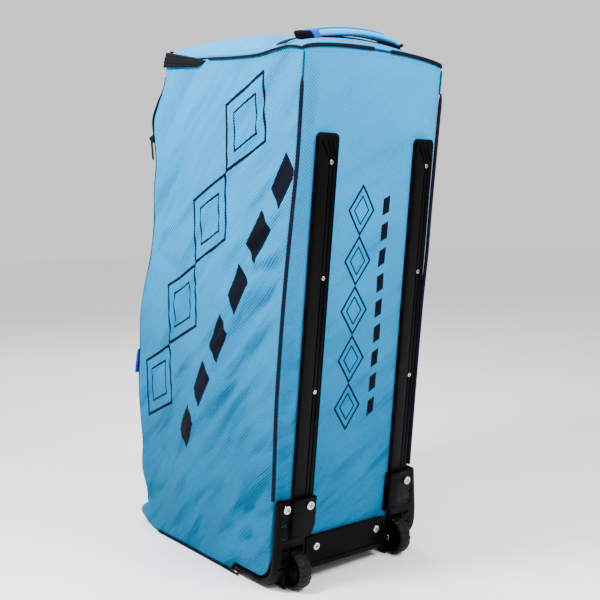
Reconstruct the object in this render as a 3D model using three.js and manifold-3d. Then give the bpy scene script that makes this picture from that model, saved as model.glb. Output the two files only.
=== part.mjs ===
// A wheeled duffel bag that stands upright on its wheel end and leans a little towards its wheels.
// Millimetres, +Z up. The body is described in its own leaning frame: x runs across the back panel,
// y runs from the back panel (negative) to the front (positive), z runs along the bag.

import * as THREE from "three";
import { mergeVertices } from "three/addons/utils/BufferGeometryUtils.js";
import Module from "manifold-3d";

const wasm = await Module();
wasm.setup();

const radians = THREE.MathUtils.degToRad;
const lerp = THREE.MathUtils.lerp;
const smooth = THREE.MathUtils.smoothstep;
const LEFT = -1;
const RIGHT = 1;

// Driving sizes of the body
const LEAN = radians(7.36);
const HALF_WIDTH = 153;
const BACK = -202;
const BOARD_RISE = 9;
const CLOTH = 2;
const SEAM = 2.5;
const CORNER = 30;
const SIDE_CROWN = { [LEFT]: 8, [RIGHT]: 5 };
const FOLD_SHARE = { [LEFT]: 1, [RIGHT]: 0.5 };
const FRONT_CROWN = 14;
const PIPING = { back: 2.6, thin: 1.8 };

// How far the two back seams stand outside the half width, up the height
const BACK_FLARE = [
  { height: 40, left: 8, right: 4 },
  { height: 217, left: 9, right: 1 },
  { height: 346, left: 13, right: -1 },
  { height: 510, left: 11, right: -2 },
  { height: 590, left: 8, right: 0 },
  { height: 668, left: 4, right: -1 },
  { height: 750, left: 0, right: -1 },
  { height: 912, left: 0, right: 0 },
];

// Front edge of the bag up its height: where the side panel ends and where the front panel lies
const FRONT_OUTLINE = [
  { height: -24, side: 178, front: 232 },
  { height: -8, side: 198, front: 282 },
  { height: 20, side: 205, front: 246 },
  { height: 49, side: 214, front: 243 },
  { height: 93, side: 237, front: 264 },
  { height: 146, side: 239, front: 266 },
  { height: 200, side: 251, front: 278 },
  { height: 255, side: 261, front: 288 },
  { height: 344, side: 262, front: 289 },
  { height: 410, side: 263, front: 290 },
  { height: 470, side: 250, front: 277 },
  { height: 525, side: 231, front: 258 },
  { height: 594, side: 220, front: 246 },
  { height: 663, side: 223, front: 249 },
  { height: 715, side: 219, front: 245 },
  { height: 790, side: 234, front: 261 },
  { height: 822, side: 218, front: 245 },
  { height: 850, side: 200, front: 226 },
  { height: 893, side: 194, front: 216 },
];

// Seam between each side panel and the top end, and how far the top end arches above it
const TOP_OUTLINE = [
  { depth: -202, seam: 911, arch: 13 },
  { depth: -168, seam: 919, arch: 20 },
  { depth: -133, seam: 913, arch: 27 },
  { depth: -84, seam: 904, arch: 44 },
  { depth: -13, seam: 902, arch: 52 },
  { depth: 92, seam: 902, arch: 54 },
  { depth: 216, seam: 897, arch: 52 },
];
const ARCH_POWER = 0.6;

// Shares of the height at which the side panels, the zip and the front panel have their rows
const LEVELS = [
  0, 0.02, 0.045, 0.08, 0.125, 0.18, 0.24, 0.3, 0.36, 0.43, 0.5, 0.57, 0.64, 0.71, 0.78, 0.835, 0.88, 0.93,
  0.976, 1,
];

// Main folds of the side panels: a row per fold, placed by depth and height on the panel
const SIDE_FOLDS = [
  { depth: -76, height: 615, turn: -52, length: 120, width: 26, rise: 5 },
  { depth: -118, height: 492, turn: -52, length: 90, width: 22, rise: -6 },
  { depth: -64, height: 470, turn: -55, length: 110, width: 30, rise: 6 },
  { depth: 124, height: 640, turn: -62, length: 95, width: 26, rise: -6 },
  { depth: 166, height: 540, turn: 35, length: 60, width: 24, rise: -8 },
  { depth: -106, height: 248, turn: -38, length: 90, width: 26, rise: -6 },
  { depth: 20, height: 300, turn: -60, length: 130, width: 40, rise: 6 },
  { depth: -102, height: 142, turn: 12, length: 90, width: 24, rise: -5 },
  { depth: 62, height: 116, turn: -40, length: 100, width: 32, rise: 5 },
];

// Hard pieces of the back
const FLOOR_GAP = 0.6;
const RAIL = {
  middle: { [LEFT]: -111, [RIGHT]: 115 }, width: 42, bottom: 191.5, top: 789, thick: 8, step: 2.6, flat: 24,
  round: 9, splay: radians(0.45),
};
const RAIL_SCREWS = [371, 560, 744];
const RAIL_SCREW_OFFSET = 10;
const HOUSING = {
  inner: 88, top: 190, face: -219, plate: 7.4, rim: 14, rimWidth: 12, bend: 56, foot: -100,
  lowInner: 101.5, lowTop: 117,
};
const HOUSING_OUTLINE = [
  { height: 20, left: 159, right: 165 },
  { height: 47, left: 161.5, right: 171 },
  { height: 87, left: 162.5, right: 176 },
  { height: 130, left: 162, right: 170 },
  { height: 190, left: 161, right: 161 },
];
const SLEEVES = {
  [LEFT]: { column: [-136, -111], block: [-111, -86] },
  [RIGHT]: { column: [89, 113], block: [113, 143] },
};
const SLOTS = [
  { across: 148, height: 146.5 },
  { across: 144.5, height: 122 },
  { across: 142.5, height: 102 },
  { across: 143.5, height: 84 },
  { across: 148, height: 71 },
];
const WELL = { across: 119, width: 29, top: 105, back: -176, wall: 3 };
const WHEEL = { across: 119, depth: -217, radius: 34.6, width: 24, lugs: 13, lugRise: 1.4, rim: 23.5 };
const AXLE_RADIUS = 4;
const KICK = {
  left: -98.4, right: 95, bottom: 52.5, top: 110.5, face: -218, lip: 61.5, lipFace: -221, tilt: radians(2.2),
};
const KICK_SCREWS = {
  [LEFT]: { across: -73.5, height: 92 },
  [RIGHT]: { across: 70, height: 87 },
};
const BIG_SCREW = { radius: 7.2, height: 3 };
const SMALL_SCREW = { radius: 4, height: 2 };
const HOUSING_SCREWS = [
  { name: "left_housing_outer_screw", across: -145, height: 176, face: -219 },
  { name: "left_housing_inner_screw", across: -99.5, height: 175.5, face: -224 },
  { name: "right_housing_screw", across: 133.5, height: 170, face: -224 },
];

// Handles and zip
const TOP_HANDLE_DEPTH = -140;
const TOP_HANDLE = [
  { across: -103, height: 944, thick: 11, wide: 28 },
  { across: -78, height: 950, thick: 13, wide: 34 },
  { across: -39, height: 955, thick: 14, wide: 37 },
  { across: 0, height: 957, thick: 14, wide: 38 },
  { across: 39, height: 956, thick: 14, wide: 37 },
  { across: 78, height: 951, thick: 13, wide: 34 },
  { across: 103, height: 945, thick: 11, wide: 28 },
];
const TOP_WEBBING = { half: 130, wide: 25, thick: 1.6, lift: 1.8 };
const FRONT_BAND = { height: 300, tall: 54, thick: 9, half: 137, standOff: 34, endStandOff: 24, droop: 9 };
const ANCHOR = { across: 108, wide: 24, from: 5, to: 8 };
const ZIP = { from: radians(36), to: radians(58), tape: 1.6, coil: 1.6 };
const PULL_HEIGHT = 0.853;

// Colours of the materials
const LOOKS = {
  blueCloth: { color: 0x2ba3d6, roughness: 0.85, metalness: 0 },
  blackCloth: { color: 0x16171a, roughness: 0.9, metalness: 0 },
  bandCloth: { color: 0x1657a8, roughness: 0.85, metalness: 0 },
  meshCloth: { color: 0x6fb6da, roughness: 0.9, metalness: 0 },
  blackPlastic: { color: 0x1b1b1c, roughness: 0.55, metalness: 0 },
  tyreRubber: { color: 0x141414, roughness: 0.85, metalness: 0 },
  steel: { color: 0xc9ccd0, roughness: 0.3, metalness: 1 },
};

// A smooth function through two columns of a table
function curveThrough(rows, from, to) {
  const slopeAt = (i) => {
    const before = rows[Math.max(i - 1, 0)];
    const after = rows[Math.min(i + 1, rows.length - 1)];
    return (after[to] - before[to]) / (after[from] - before[from]);
  };
  return (value) => {
    const held = THREE.MathUtils.clamp(value, rows[0][from], rows[rows.length - 1][from]);
    let i = 0;
    while (i < rows.length - 2 && held > rows[i + 1][from]) i += 1;
    const span = rows[i + 1][from] - rows[i][from];
    const t = (held - rows[i][from]) / span;
    const start = rows[i][to] * (1 + 2 * t) * (1 - t) ** 2 + slopeAt(i) * span * t * (1 - t) ** 2;
    const end = rows[i + 1][to] * t * t * (3 - 2 * t) + slopeAt(i + 1) * span * t * t * (t - 1);
    return start + end;
  };
}

// Closed geometry from vertices and triangles
function geometryFrom(points, triangles) {
  const geometry = new THREE.BufferGeometry();
  const flat = points.flatMap((p) => [p.x, p.y, p.z]);
  geometry.setAttribute("position", new THREE.Float32BufferAttribute(flat, 3));
  geometry.setIndex(triangles.flat());
  geometry.computeVertexNormals();
  return geometry;
}

// A wall of cloth: the outer face is surface(u, v), the inner face lies `thick` behind it.
// Columns and rows are counts of even steps, or lists of the shares to use.
function wall(surface, columnSteps, rowSteps, { out = 1, thick = CLOTH, lift = 0, ridge = () => 0 } = {}) {
  const even = (steps) => Array.from({ length: steps + 1 }, (_, k) => k / steps);
  const shares = (steps) => (Array.isArray(steps) ? steps : even(steps));
  const us = shares(columnSteps);
  const vs = shares(rowSteps);
  const columns = us.length - 1;
  const rows = vs.length - 1;
  const outer = [];
  const inner = [];
  const small = 1e-3;
  for (let j = 0; j <= rows; j += 1) {
    for (let i = 0; i <= columns; i += 1) {
      const u = us[i];
      const v = vs[j];
      const alongU = surface(Math.min(u + small, 1), v).sub(surface(Math.max(u - small, 0), v));
      const alongV = surface(u, Math.min(v + small, 1)).sub(surface(u, Math.max(v - small, 0)));
      const normal = alongU.cross(alongV).normalize().multiplyScalar(out);
      const point = surface(u, v);
      outer.push(point.clone().addScaledVector(normal, lift + ridge(u, v)));
      inner.push(point.clone().addScaledVector(normal, lift - thick));
    }
  }
  const points = [...outer, ...inner];
  const back = outer.length;
  const at = (i, j) => j * (columns + 1) + i;
  const triangles = [];
  const quad = (a, b, c, d) => {
    triangles.push(out > 0 ? [a, b, c] : [a, c, b]);
    triangles.push(out > 0 ? [a, c, d] : [a, d, c]);
  };
  for (let j = 0; j < rows; j += 1) {
    for (let i = 0; i < columns; i += 1) {
      const corners = [at(i, j), at(i + 1, j), at(i + 1, j + 1), at(i, j + 1)];
      quad(...corners);
      quad(...corners.map((c) => c + back).reverse());
    }
  }
  const edge = [];
  for (let i = 0; i < columns; i += 1) edge.push(at(i, 0));
  for (let j = 0; j < rows; j += 1) edge.push(at(columns, j));
  for (let i = columns; i > 0; i -= 1) edge.push(at(i, rows));
  for (let j = rows; j > 0; j -= 1) edge.push(at(0, j));
  edge.forEach((a, k) => {
    const b = edge[(k + 1) % edge.length];
    quad(a, a + back, b + back, b);
  });
  return geometryFrom(points, triangles);
}

// A solid through a row of closed rings with the same number of points, capped at both ends
function loft(rings) {
  const count = rings[0].length;
  const points = rings.flat();
  const triangles = [];
  for (let j = 0; j + 1 < rings.length; j += 1) {
    for (let i = 0; i < count; i += 1) {
      const next = (i + 1) % count;
      const [a, b, c, d] = [j * count + i, j * count + next, (j + 1) * count + next, (j + 1) * count + i];
      triangles.push([a, b, c], [a, c, d]);
    }
  }
  const flat = (ring) => {
    const [a, b] = [ring[1].clone().sub(ring[0]), ring[2].clone().sub(ring[0])];
    const normal = new THREE.Vector3();
    ring.forEach((p, i) => normal.add(p.clone().cross(ring[(i + 1) % count])));
    normal.normalize();
    const across = (a.lengthSq() > 0 ? a : b).normalize();
    const up = normal.clone().cross(across);
    return ring.map((p) => new THREE.Vector2(p.dot(across), p.dot(up)));
  };
  const last = (rings.length - 1) * count;
  for (const [a, b, c] of THREE.ShapeUtils.triangulateShape(flat(rings[0]), [])) triangles.push([c, b, a]);
  for (const [a, b, c] of THREE.ShapeUtils.triangulateShape(flat(rings[rings.length - 1]), [])) {
    triangles.push([last + a, last + b, last + c]);
  }
  const geometry = geometryFrom(points, triangles);
  if (signedVolume(geometry) < 0) {
    geometry.setIndex(triangles.map(([a, b, c]) => [a, c, b]).flat());
    geometry.computeVertexNormals();
  }
  return geometry;
}

function signedVolume(geometry) {
  const position = geometry.getAttribute("position");
  const index = geometry.getIndex();
  const corner = (k) => new THREE.Vector3().fromBufferAttribute(position, index.getX(k));
  let total = 0;
  for (let k = 0; k < index.count; k += 3) total += corner(k).dot(corner(k + 1).cross(corner(k + 2)));
  return total / 6;
}

// Joins and cuts of closed geometries
function solid(geometry) {
  const bare = geometry.clone();
  bare.deleteAttribute("normal");
  bare.deleteAttribute("uv");
  const merged = mergeVertices(bare, 1e-4);
  const vertProperties = new Float32Array(merged.getAttribute("position").array);
  const triVerts = new Uint32Array(merged.getIndex().array);
  return new wasm.Manifold(new wasm.Mesh({ numProp: 3, vertProperties, triVerts }));
}

function geometryOf(manifold) {
  const mesh = manifold.getMesh();
  const geometry = new THREE.BufferGeometry();
  geometry.setAttribute("position", new THREE.BufferAttribute(new Float32Array(mesh.vertProperties), 3));
  geometry.setIndex(new THREE.BufferAttribute(new Uint32Array(mesh.triVerts), 1));
  geometry.computeVertexNormals();
  return geometry;
}

const join = (...parts) => geometryOf(parts.map(solid).reduce((a, b) => a.add(b)));
const cut = (body, ...tools) => geometryOf(tools.map(solid).reduce((a, b) => a.subtract(b), solid(body)));
const common = (a, b) => geometryOf(solid(a).intersect(solid(b)));

// A box between two corners
function box([x0, x1], [y0, y1], [z0, z1]) {
  const geometry = new THREE.BoxGeometry(Math.abs(x1 - x0), Math.abs(y1 - y0), Math.abs(z1 - z0));
  return geometry.translate((x0 + x1) / 2, (y0 + y1) / 2, (z0 + z1) / 2);
}

// A flat outline in the (y, z) plane carried along x, and one in the (x, z) plane carried along y
function alongX(shape, x0, x1) {
  const options = { depth: x1 - x0, bevelEnabled: false, curveSegments: 6 };
  const geometry = new THREE.ExtrudeGeometry(shape, options);
  const turn = new THREE.Matrix4().set(0, 0, 1, x0, 1, 0, 0, 0, 0, 1, 0, 0, 0, 0, 0, 1);
  return geometry.applyMatrix4(turn);
}

function alongY(shape, y0, y1) {
  const options = { depth: y1 - y0, bevelEnabled: false, curveSegments: 4 };
  const geometry = new THREE.ExtrudeGeometry(shape, options);
  return geometry.rotateX(Math.PI / 2).translate(0, y1, 0);
}

function polygon(points) {
  return new THREE.Shape(points.map(([a, b]) => new THREE.Vector2(a, b)));
}

// A rounded rectangle with its own radius at each corner
function rounded(x0, x1, y0, y1, { low = 0, highLeft = 0, highRight = 0 }) {
  const shape = new THREE.Shape();
  shape.moveTo(x0 + low, y0);
  shape.lineTo(x1 - low, y0);
  if (low > 0) shape.quadraticCurveTo(x1, y0, x1, y0 + low);
  shape.lineTo(x1, y1 - highRight);
  if (highRight > 0) shape.quadraticCurveTo(x1, y1, x1 - highRight, y1);
  shape.lineTo(x0 + highLeft, y1);
  if (highLeft > 0) shape.quadraticCurveTo(x0, y1, x0, y1 - highLeft);
  shape.lineTo(x0, y0 + low);
  if (low > 0) shape.quadraticCurveTo(x0, y0, x0 + low, y0);
  return shape;
}

// A cord of piping along a smooth line
function piping(points, steps, radius) {
  const ring = new THREE.Shape();
  ring.absarc(0, 0, radius, 0, Math.PI * 2);
  const path = new THREE.CatmullRomCurve3(points);
  return new THREE.ExtrudeGeometry(ring, { steps, bevelEnabled: false, curveSegments: 3, extrudePath: path });
}

// The floor and the corner the housings bend round, seen from the side
const floorAt = (y) => -y * Math.tan(LEAN);
const BEND_Y = HOUSING.face + HOUSING.bend;
const BEND_Z = (HOUSING.bend + FLOOR_GAP - BEND_Y * Math.sin(LEAN)) / Math.cos(LEAN);

// Surfaces of the body
const sideEnd = curveThrough(FRONT_OUTLINE, "height", "side");
const frontAt = curveThrough(FRONT_OUTLINE, "height", "front");
const topSeam = curveThrough(TOP_OUTLINE, "depth", "seam");
const topArch = curveThrough(TOP_OUTLINE, "depth", "arch");
const flareOf = {
  [LEFT]: curveThrough(BACK_FLARE, "height", "left"),
  [RIGHT]: curveThrough(BACK_FLARE, "height", "right"),
};
const backFlare = (side, z) => flareOf[side](z);
const pillow = (x) => Math.max(0, 1 - (x / HALF_WIDTH) ** 2) ** ARCH_POWER;
const SIDE_BEND = BEND_Y - (BACK + SEAM);
const SIDE_FLAT = 0.92;
const SIDE_COLUMNS = [0, 0.04, 0.1, 0.18, 0.26, 0.35, 0.44, 0.54, 0.64, 0.74, 0.83, SIDE_FLAT, 0.96, 1];
const TOP_SKIPS = [0.35, 0.54];

function sideBottom(y) {
  if (y < BEND_Y) return BEND_Z - Math.sqrt(Math.max(0, SIDE_BEND ** 2 - (y - BEND_Y) ** 2));
  const overFoot = BEND_Z - SIDE_BEND - floorAt(BEND_Y);
  return floorAt(y) + lerp(overFoot, 2.6, smooth(y, HOUSING.foot + 6, HOUSING.foot + 40));
}

const heightGuess = (t) => lerp(FRONT_OUTLINE[0].height, FRONT_OUTLINE[FRONT_OUTLINE.length - 1].height, t);
const sideHeight = (y, t) => lerp(sideBottom(y), topSeam(y) - SEAM / 2, t);

function foldRise(y, z) {
  let total = 0;
  for (const { depth, height, turn, length, width, rise } of SIDE_FOLDS) {
    const along = (y - depth) * Math.cos(radians(turn)) + (z - height) * Math.sin(radians(turn));
    const across = (z - height) * Math.cos(radians(turn)) - (y - depth) * Math.sin(radians(turn));
    total += rise * Math.exp(-((along / length) ** 2) - (across / width) ** 2);
  }
  return total;
}

// The rounded corner between a side panel and the front panel; angle 0 lies on the side
function cornerPoint(side, angle, t) {
  const ySide = sideEnd(heightGuess(t));
  const yFront = frontAt(heightGuess(t));
  const x = side * (HALF_WIDTH - CORNER + CORNER * Math.cos(angle));
  const y = lerp(ySide, yFront, Math.sin(angle));
  return new THREE.Vector3(x, y, sideHeight(y, t));
}

function sidePoint(side, s, t) {
  if (s > SIDE_FLAT) return cornerPoint(side, ((s - SIDE_FLAT) / (1 - SIDE_FLAT)) * ZIP.from * 0.94, t);
  const u = s / SIDE_FLAT;
  const y = lerp(BACK + SEAM, sideEnd(heightGuess(t)), u);
  const z = sideHeight(y, t);
  const calm = (4 * u * (1 - u)) ** 1.5 * Math.min(1, 4 * t * (1 - t) * 1.4);
  const crown = calm * (SIDE_CROWN[side] + FOLD_SHARE[side] * foldRise(y, z));
  return new THREE.Vector3(side * (HALF_WIDTH + backFlare(side, z) * (1 - u) ** 1.5 + crown), y, z);
}

const CORNER_SHARE = 0.07;

function frontPoint(u, t) {
  const fromEdge = Math.min(u, 1 - u);
  const side = u < 0.5 ? LEFT : RIGHT;
  if (fromEdge < CORNER_SHARE) {
    const angle = lerp(ZIP.to * 1.05, Math.PI / 2, fromEdge / CORNER_SHARE);
    return cornerPoint(side, angle, t).add(frontLift(t));
  }
  const edge = cornerPoint(side, Math.PI / 2, t);
  const x = lerp(CORNER - HALF_WIDTH, HALF_WIDTH - CORNER, (u - CORNER_SHARE) / (1 - 2 * CORNER_SHARE));
  const crown = FRONT_CROWN * (1 - (x / (HALF_WIDTH - CORNER)) ** 2) * Math.min(1, 4 * t * (1 - t) * 1.5);
  const edgeRise = pillow(HALF_WIDTH - CORNER);
  const rise = topArch(edge.y) * (pillow(x) - edgeRise) * t ** 8;
  return new THREE.Vector3(x, edge.y + crown, edge.z + rise).add(frontLift(t));
}

// The top edge of the front follows the arch of the top end already at the rounded corners
function frontLift(t) {
  const rise = topArch(frontAt(heightGuess(1))) * pillow(HALF_WIDTH - CORNER) * t ** 8;
  return new THREE.Vector3(0, 0, rise);
}

function topFrontDepth(x) {
  const beyond = Math.max(0, Math.abs(x) - (HALF_WIDTH - CORNER)) / CORNER;
  const ySide = sideEnd(heightGuess(1));
  return lerp(ySide, frontAt(heightGuess(1)), Math.sqrt(Math.max(0, 1 - beyond ** 2)));
}

function topHeight(x, y) {
  return topSeam(y) + topArch(y) * pillow(x);
}

const TOP_HALF = HALF_WIDTH - 0.6;

function topPoint(u, v) {
  const x = lerp(-TOP_HALF, TOP_HALF, u);
  const y = lerp(BACK + SEAM, topFrontDepth(x) - 4, v);
  return new THREE.Vector3(x, y, topHeight(x, y) + SEAM / 2);
}

const BACK_BEND = 52;
const BACK_BEND_Y = BACK - BOARD_RISE + BACK_BEND;
const BACK_BEND_Z = (BACK_BEND + 2.6 - BACK_BEND_Y * Math.sin(LEAN)) / Math.cos(LEAN);
const BEND_SHARE = 0.16;

function backPoint(u, v) {
  const flat = lerp(-HALF_WIDTH, HALF_WIDTH, u);
  const board = smooth(2 * HALF_WIDTH * Math.min(u, 1 - u), 4, 28);
  const reachOf = (side, z) => side * (HALF_WIDTH + backFlare(side, z) - SEAM);
  const across = (z) => lerp(reachOf(LEFT, z), reachOf(RIGHT, z), u);
  if (v < BEND_SHARE) {
    const angle = lerp(Math.PI * 1.5 - LEAN, Math.PI, v / BEND_SHARE);
    const reach = BACK_BEND - (1 - board) * BOARD_RISE;
    const z = BACK_BEND_Z + reach * Math.sin(angle);
    return new THREE.Vector3(across(z), BACK_BEND_Y + reach * Math.cos(angle), z);
  }
  const top = topHeight(flat, BACK) - SEAM / 2;
  const z = lerp(BACK_BEND_Z, top, (v - BEND_SHARE) / (1 - BEND_SHARE));
  return new THREE.Vector3(across(z), BACK - BOARD_RISE * board * smooth(top - z, 0, 40), z);
}

// The bag, its leaning body and the pieces that lie flat on the floor
const bag = new THREE.Group();
bag.name = "wheeled_duffel_bag";
const leaning = new THREE.Group();
leaning.name = "leaning_body";
leaning.rotation.x = LEAN;
bag.add(leaning);

function piece(name, geometry, look, parent = leaning) {
  const mesh = new THREE.Mesh(geometry, new THREE.MeshStandardMaterial(LOOKS[look]));
  mesh.name = name;
  parent.add(mesh);
  return mesh;
}

const sideName = (side) => (side === LEFT ? "left" : "right");

// Cloth panels
for (const side of [LEFT, RIGHT]) {
  const surface = (s, t) => sidePoint(side, s, t);
  piece(`${sideName(side)}_side_panel`, wall(surface, SIDE_COLUMNS, LEVELS, { out: side }), "blueCloth");
}
const zipLevels = LEVELS.slice(0, -1);
const zipTop = zipLevels[zipLevels.length - 1];
const frontColumns = [0, CORNER_SHARE, 0.19, 0.31, 0.43, 0.57, 0.69, 0.81, 1 - CORNER_SHARE, 1];
piece("front_panel", wall(frontPoint, frontColumns, zipLevels, { out: -1 }), "blueCloth");
const topColumns = [0, 0.012, 0.04, 0.1, 0.2, 0.32, 0.44, 0.56, 0.68, 0.8, 0.9, 0.96, 0.988, 1];
const topColumnsUsed = SIDE_COLUMNS.filter((s) => s <= SIDE_FLAT && !TOP_SKIPS.includes(s));
const topRows = topColumnsUsed.map((s) => s / SIDE_FLAT);
piece("top_end_panel", wall(topPoint, topColumns, topRows), "blueCloth");

const backCuts = [LEFT, RIGHT].flatMap((side) => [
  box([side * (HOUSING.lowInner - 3.4), side * 145], [-270, -100], [-60, 112]),
  box([side * (HOUSING.lowInner - 3.4), side * 190], [-270, -100], [-60, BEND_Z + 2]),
]);
const backColumns = [0, 0.03, 0.075, 0.18, 0.34, 0.5, 0.66, 0.82, 0.925, 0.97, 1];
const backRows = [0, 0.05, 0.11, BEND_SHARE, 0.2, 0.3, 0.42, 0.55, 0.68, 0.8, 0.88, 0.94, 0.965, 0.985, 1];
piece("back_panel", cut(wall(backPoint, backColumns, backRows), ...backCuts), "blueCloth");

const BASE = {
  half: HALF_WIDTH - 3, inner: 94, back: -157.5, foot: HOUSING.foot + 10, side: 176, front: 230, corner: 34,
};
const base = new THREE.Shape();
base.moveTo(-BASE.inner, BASE.back);
base.lineTo(BASE.inner, BASE.back);
base.lineTo(BASE.inner, BASE.foot);
base.lineTo(BASE.half, BASE.foot);
base.lineTo(BASE.half, BASE.side);
base.quadraticCurveTo(BASE.half, BASE.front - 2, BASE.half - BASE.corner, BASE.front);
base.lineTo(BASE.corner - BASE.half, BASE.front);
base.quadraticCurveTo(-BASE.half, BASE.front - 2, -BASE.half, BASE.side);
base.lineTo(-BASE.half, BASE.foot);
base.lineTo(-BASE.inner, BASE.foot);
const baseWall = new THREE.ExtrudeGeometry(base, { depth: CLOTH, bevelEnabled: false, curveSegments: 4 });
piece("bottom_end_panel", baseWall, "blackCloth", bag);

// Main zip: two runs up the rounded corners and one along the front of the top
const coil = (share) => ZIP.coil * Math.max(0, 1 - Math.abs(share - 0.5) * 5);
for (const side of [LEFT, RIGHT]) {
  const surface = (a, t) => cornerPoint(side, lerp(ZIP.from, ZIP.to, a), t);
  const options = { out: side, thick: ZIP.tape, ridge: (a) => coil(a) };
  piece(`main_zip_${sideName(side)}`, wall(surface, 4, zipLevels, options), "blackCloth");
}
const topZip = (u, v) => frontPoint(u, lerp(zipTop + 0.002, 0.9985, v));
const topZipWall = wall(topZip, frontColumns, 4, { out: -1, thick: ZIP.tape, ridge: (u, v) => coil(v) });
piece("main_zip_top", topZipWall, "blackCloth");

// Ribbed zip ends that lap on to the side panels under the top seam
for (const side of [LEFT, RIGHT]) {
  const surface = (a, b) => {
    const t = lerp(0.976, 0.9975, b);
    return sidePoint(side, lerp(0.69 - 0.05 * b, 0.99, a), t);
  };
  const ribs = (a) => (Math.round(a * 14) % 2 === 0 ? 0 : 0.8);
  const options = { out: side, lift: CLOTH + 0.5, thick: CLOTH, ridge: ribs };
  piece(`zip_end_${sideName(side)}`, wall(surface, 14, 1, options), "blackCloth");
}

// Zip slider with a hinge pin, and the pull that swings on the pin
const zipSeat = cornerPoint(LEFT, (ZIP.from + ZIP.to) / 2, PULL_HEIGHT);
const zipUp = cornerPoint(LEFT, (ZIP.from + ZIP.to) / 2, PULL_HEIGHT + 0.02).sub(zipSeat).normalize();
const zipEdge = cornerPoint(LEFT, ZIP.from, PULL_HEIGHT);
const zipAround = cornerPoint(LEFT, ZIP.to, PULL_HEIGHT).sub(zipEdge).normalize();
const zipOut = zipUp.clone().cross(zipAround).normalize();
const zipAcross = zipOut.clone().cross(zipUp).normalize();
const zipFrame = new THREE.Matrix4().makeBasis(zipAcross, zipOut, zipUp).setPosition(zipSeat);
const PIN = { out: 8.2, radius: 1.5, eye: 2 };
const pinRod = new THREE.CylinderGeometry(PIN.radius, PIN.radius, 12, 10);
pinRod.rotateZ(Math.PI / 2).translate(0, PIN.out, 0);
const cheekShape = polygon([[2.4, -5], [2.4, 6], [5, 6], [10.2, 3], [10.2, -3], [5, -5]]);
const slider = join(
  box([-6, 6], [ZIP.coil + 0.4, 4.2], [-8, 8]),
  alongX(cheekShape, -6, -3.4),
  alongX(cheekShape, 3.4, 6),
  pinRod,
);
piece("zip_slider", slider.applyMatrix4(zipFrame), "steel");
const pullShape = rounded(-3, 3, -40, 3.6, { low: 2.5, highLeft: 2.5, highRight: 2.5 });
const pullBody = alongY(pullShape, PIN.out - 1.3, PIN.out + 1.3);
const pullEye = new THREE.CylinderGeometry(PIN.eye + 1.5, PIN.eye + 1.5, 6, 12);
const pullBore = new THREE.CylinderGeometry(PIN.eye, PIN.eye, 20, 12);
const pull = cut(
  join(pullBody, pullEye.rotateZ(Math.PI / 2).translate(0, PIN.out, 0)),
  pullBore.rotateZ(Math.PI / 2).translate(0, PIN.out, 0),
);
piece("zip_pull", pull.applyMatrix4(zipFrame), "steel");

// Piping along the seams
for (const side of [LEFT, RIGHT]) {
  const backLine = [];
  const backX = (z) => side * (HALF_WIDTH + backFlare(side, z) + 1.4);
  for (const z of [196, 260, 346, 430, 510, 590, 668, 750, 868]) {
    backLine.push(new THREE.Vector3(backX(z), BACK - 1.6, z));
  }
  piece(`back_${sideName(side)}_piping`, piping(backLine, 12, PIPING.back), "blackCloth");
  const thinX = side * (HALF_WIDTH + PIPING.thin + 0.7);
  const topLine = [];
  for (const y of [-194, -168, -133, -84, -13, 60]) {
    topLine.push(new THREE.Vector3(thinX, y, topSeam(y) + 0.6));
  }
  piece(`top_${sideName(side)}_piping`, piping(topLine, 12, PIPING.thin), "blackCloth");
  const baseLine = [];
  const baseRise = PIPING.thin + 0.8;
  for (const s of [0.34, 0.44, 0.55, 0.7, 0.91]) {
    const foot = sidePoint(side, s, 0);
    baseLine.push(new THREE.Vector3(foot.x + side * (PIPING.thin + 0.7), foot.y, floorAt(foot.y) + baseRise));
  }
  piece(`base_${sideName(side)}_piping`, piping(baseLine, 6, PIPING.thin), "blackCloth");
}
for (const { name, from, to } of [
  { name: "top_back_piping_left", from: -147, to: -10 },
  { name: "top_back_piping_right", from: 26, to: 147 },
]) {
  const line = [];
  for (const share of [0, 0.25, 0.5, 0.75, 1]) {
    const x = lerp(from, to, share);
    line.push(new THREE.Vector3(x, BACK - 2.2, topHeight(x, BACK) + 1.4));
  }
  piece(name, piping(line, 8, PIPING.back), "blackCloth");
}

// Screws sit on the back with their heads outwards
function screwHead({ radius, height }, x, face, z) {
  const profile = [[0, 0], [radius, 0], [radius, height * 0.5], [radius * 0.72, height], [0, height]];
  const head = new THREE.LatheGeometry(profile.map(([r, h]) => new THREE.Vector2(r, h)), 10);
  return head.rotateX(Math.PI).translate(x, face - 0.3, z);
}

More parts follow.
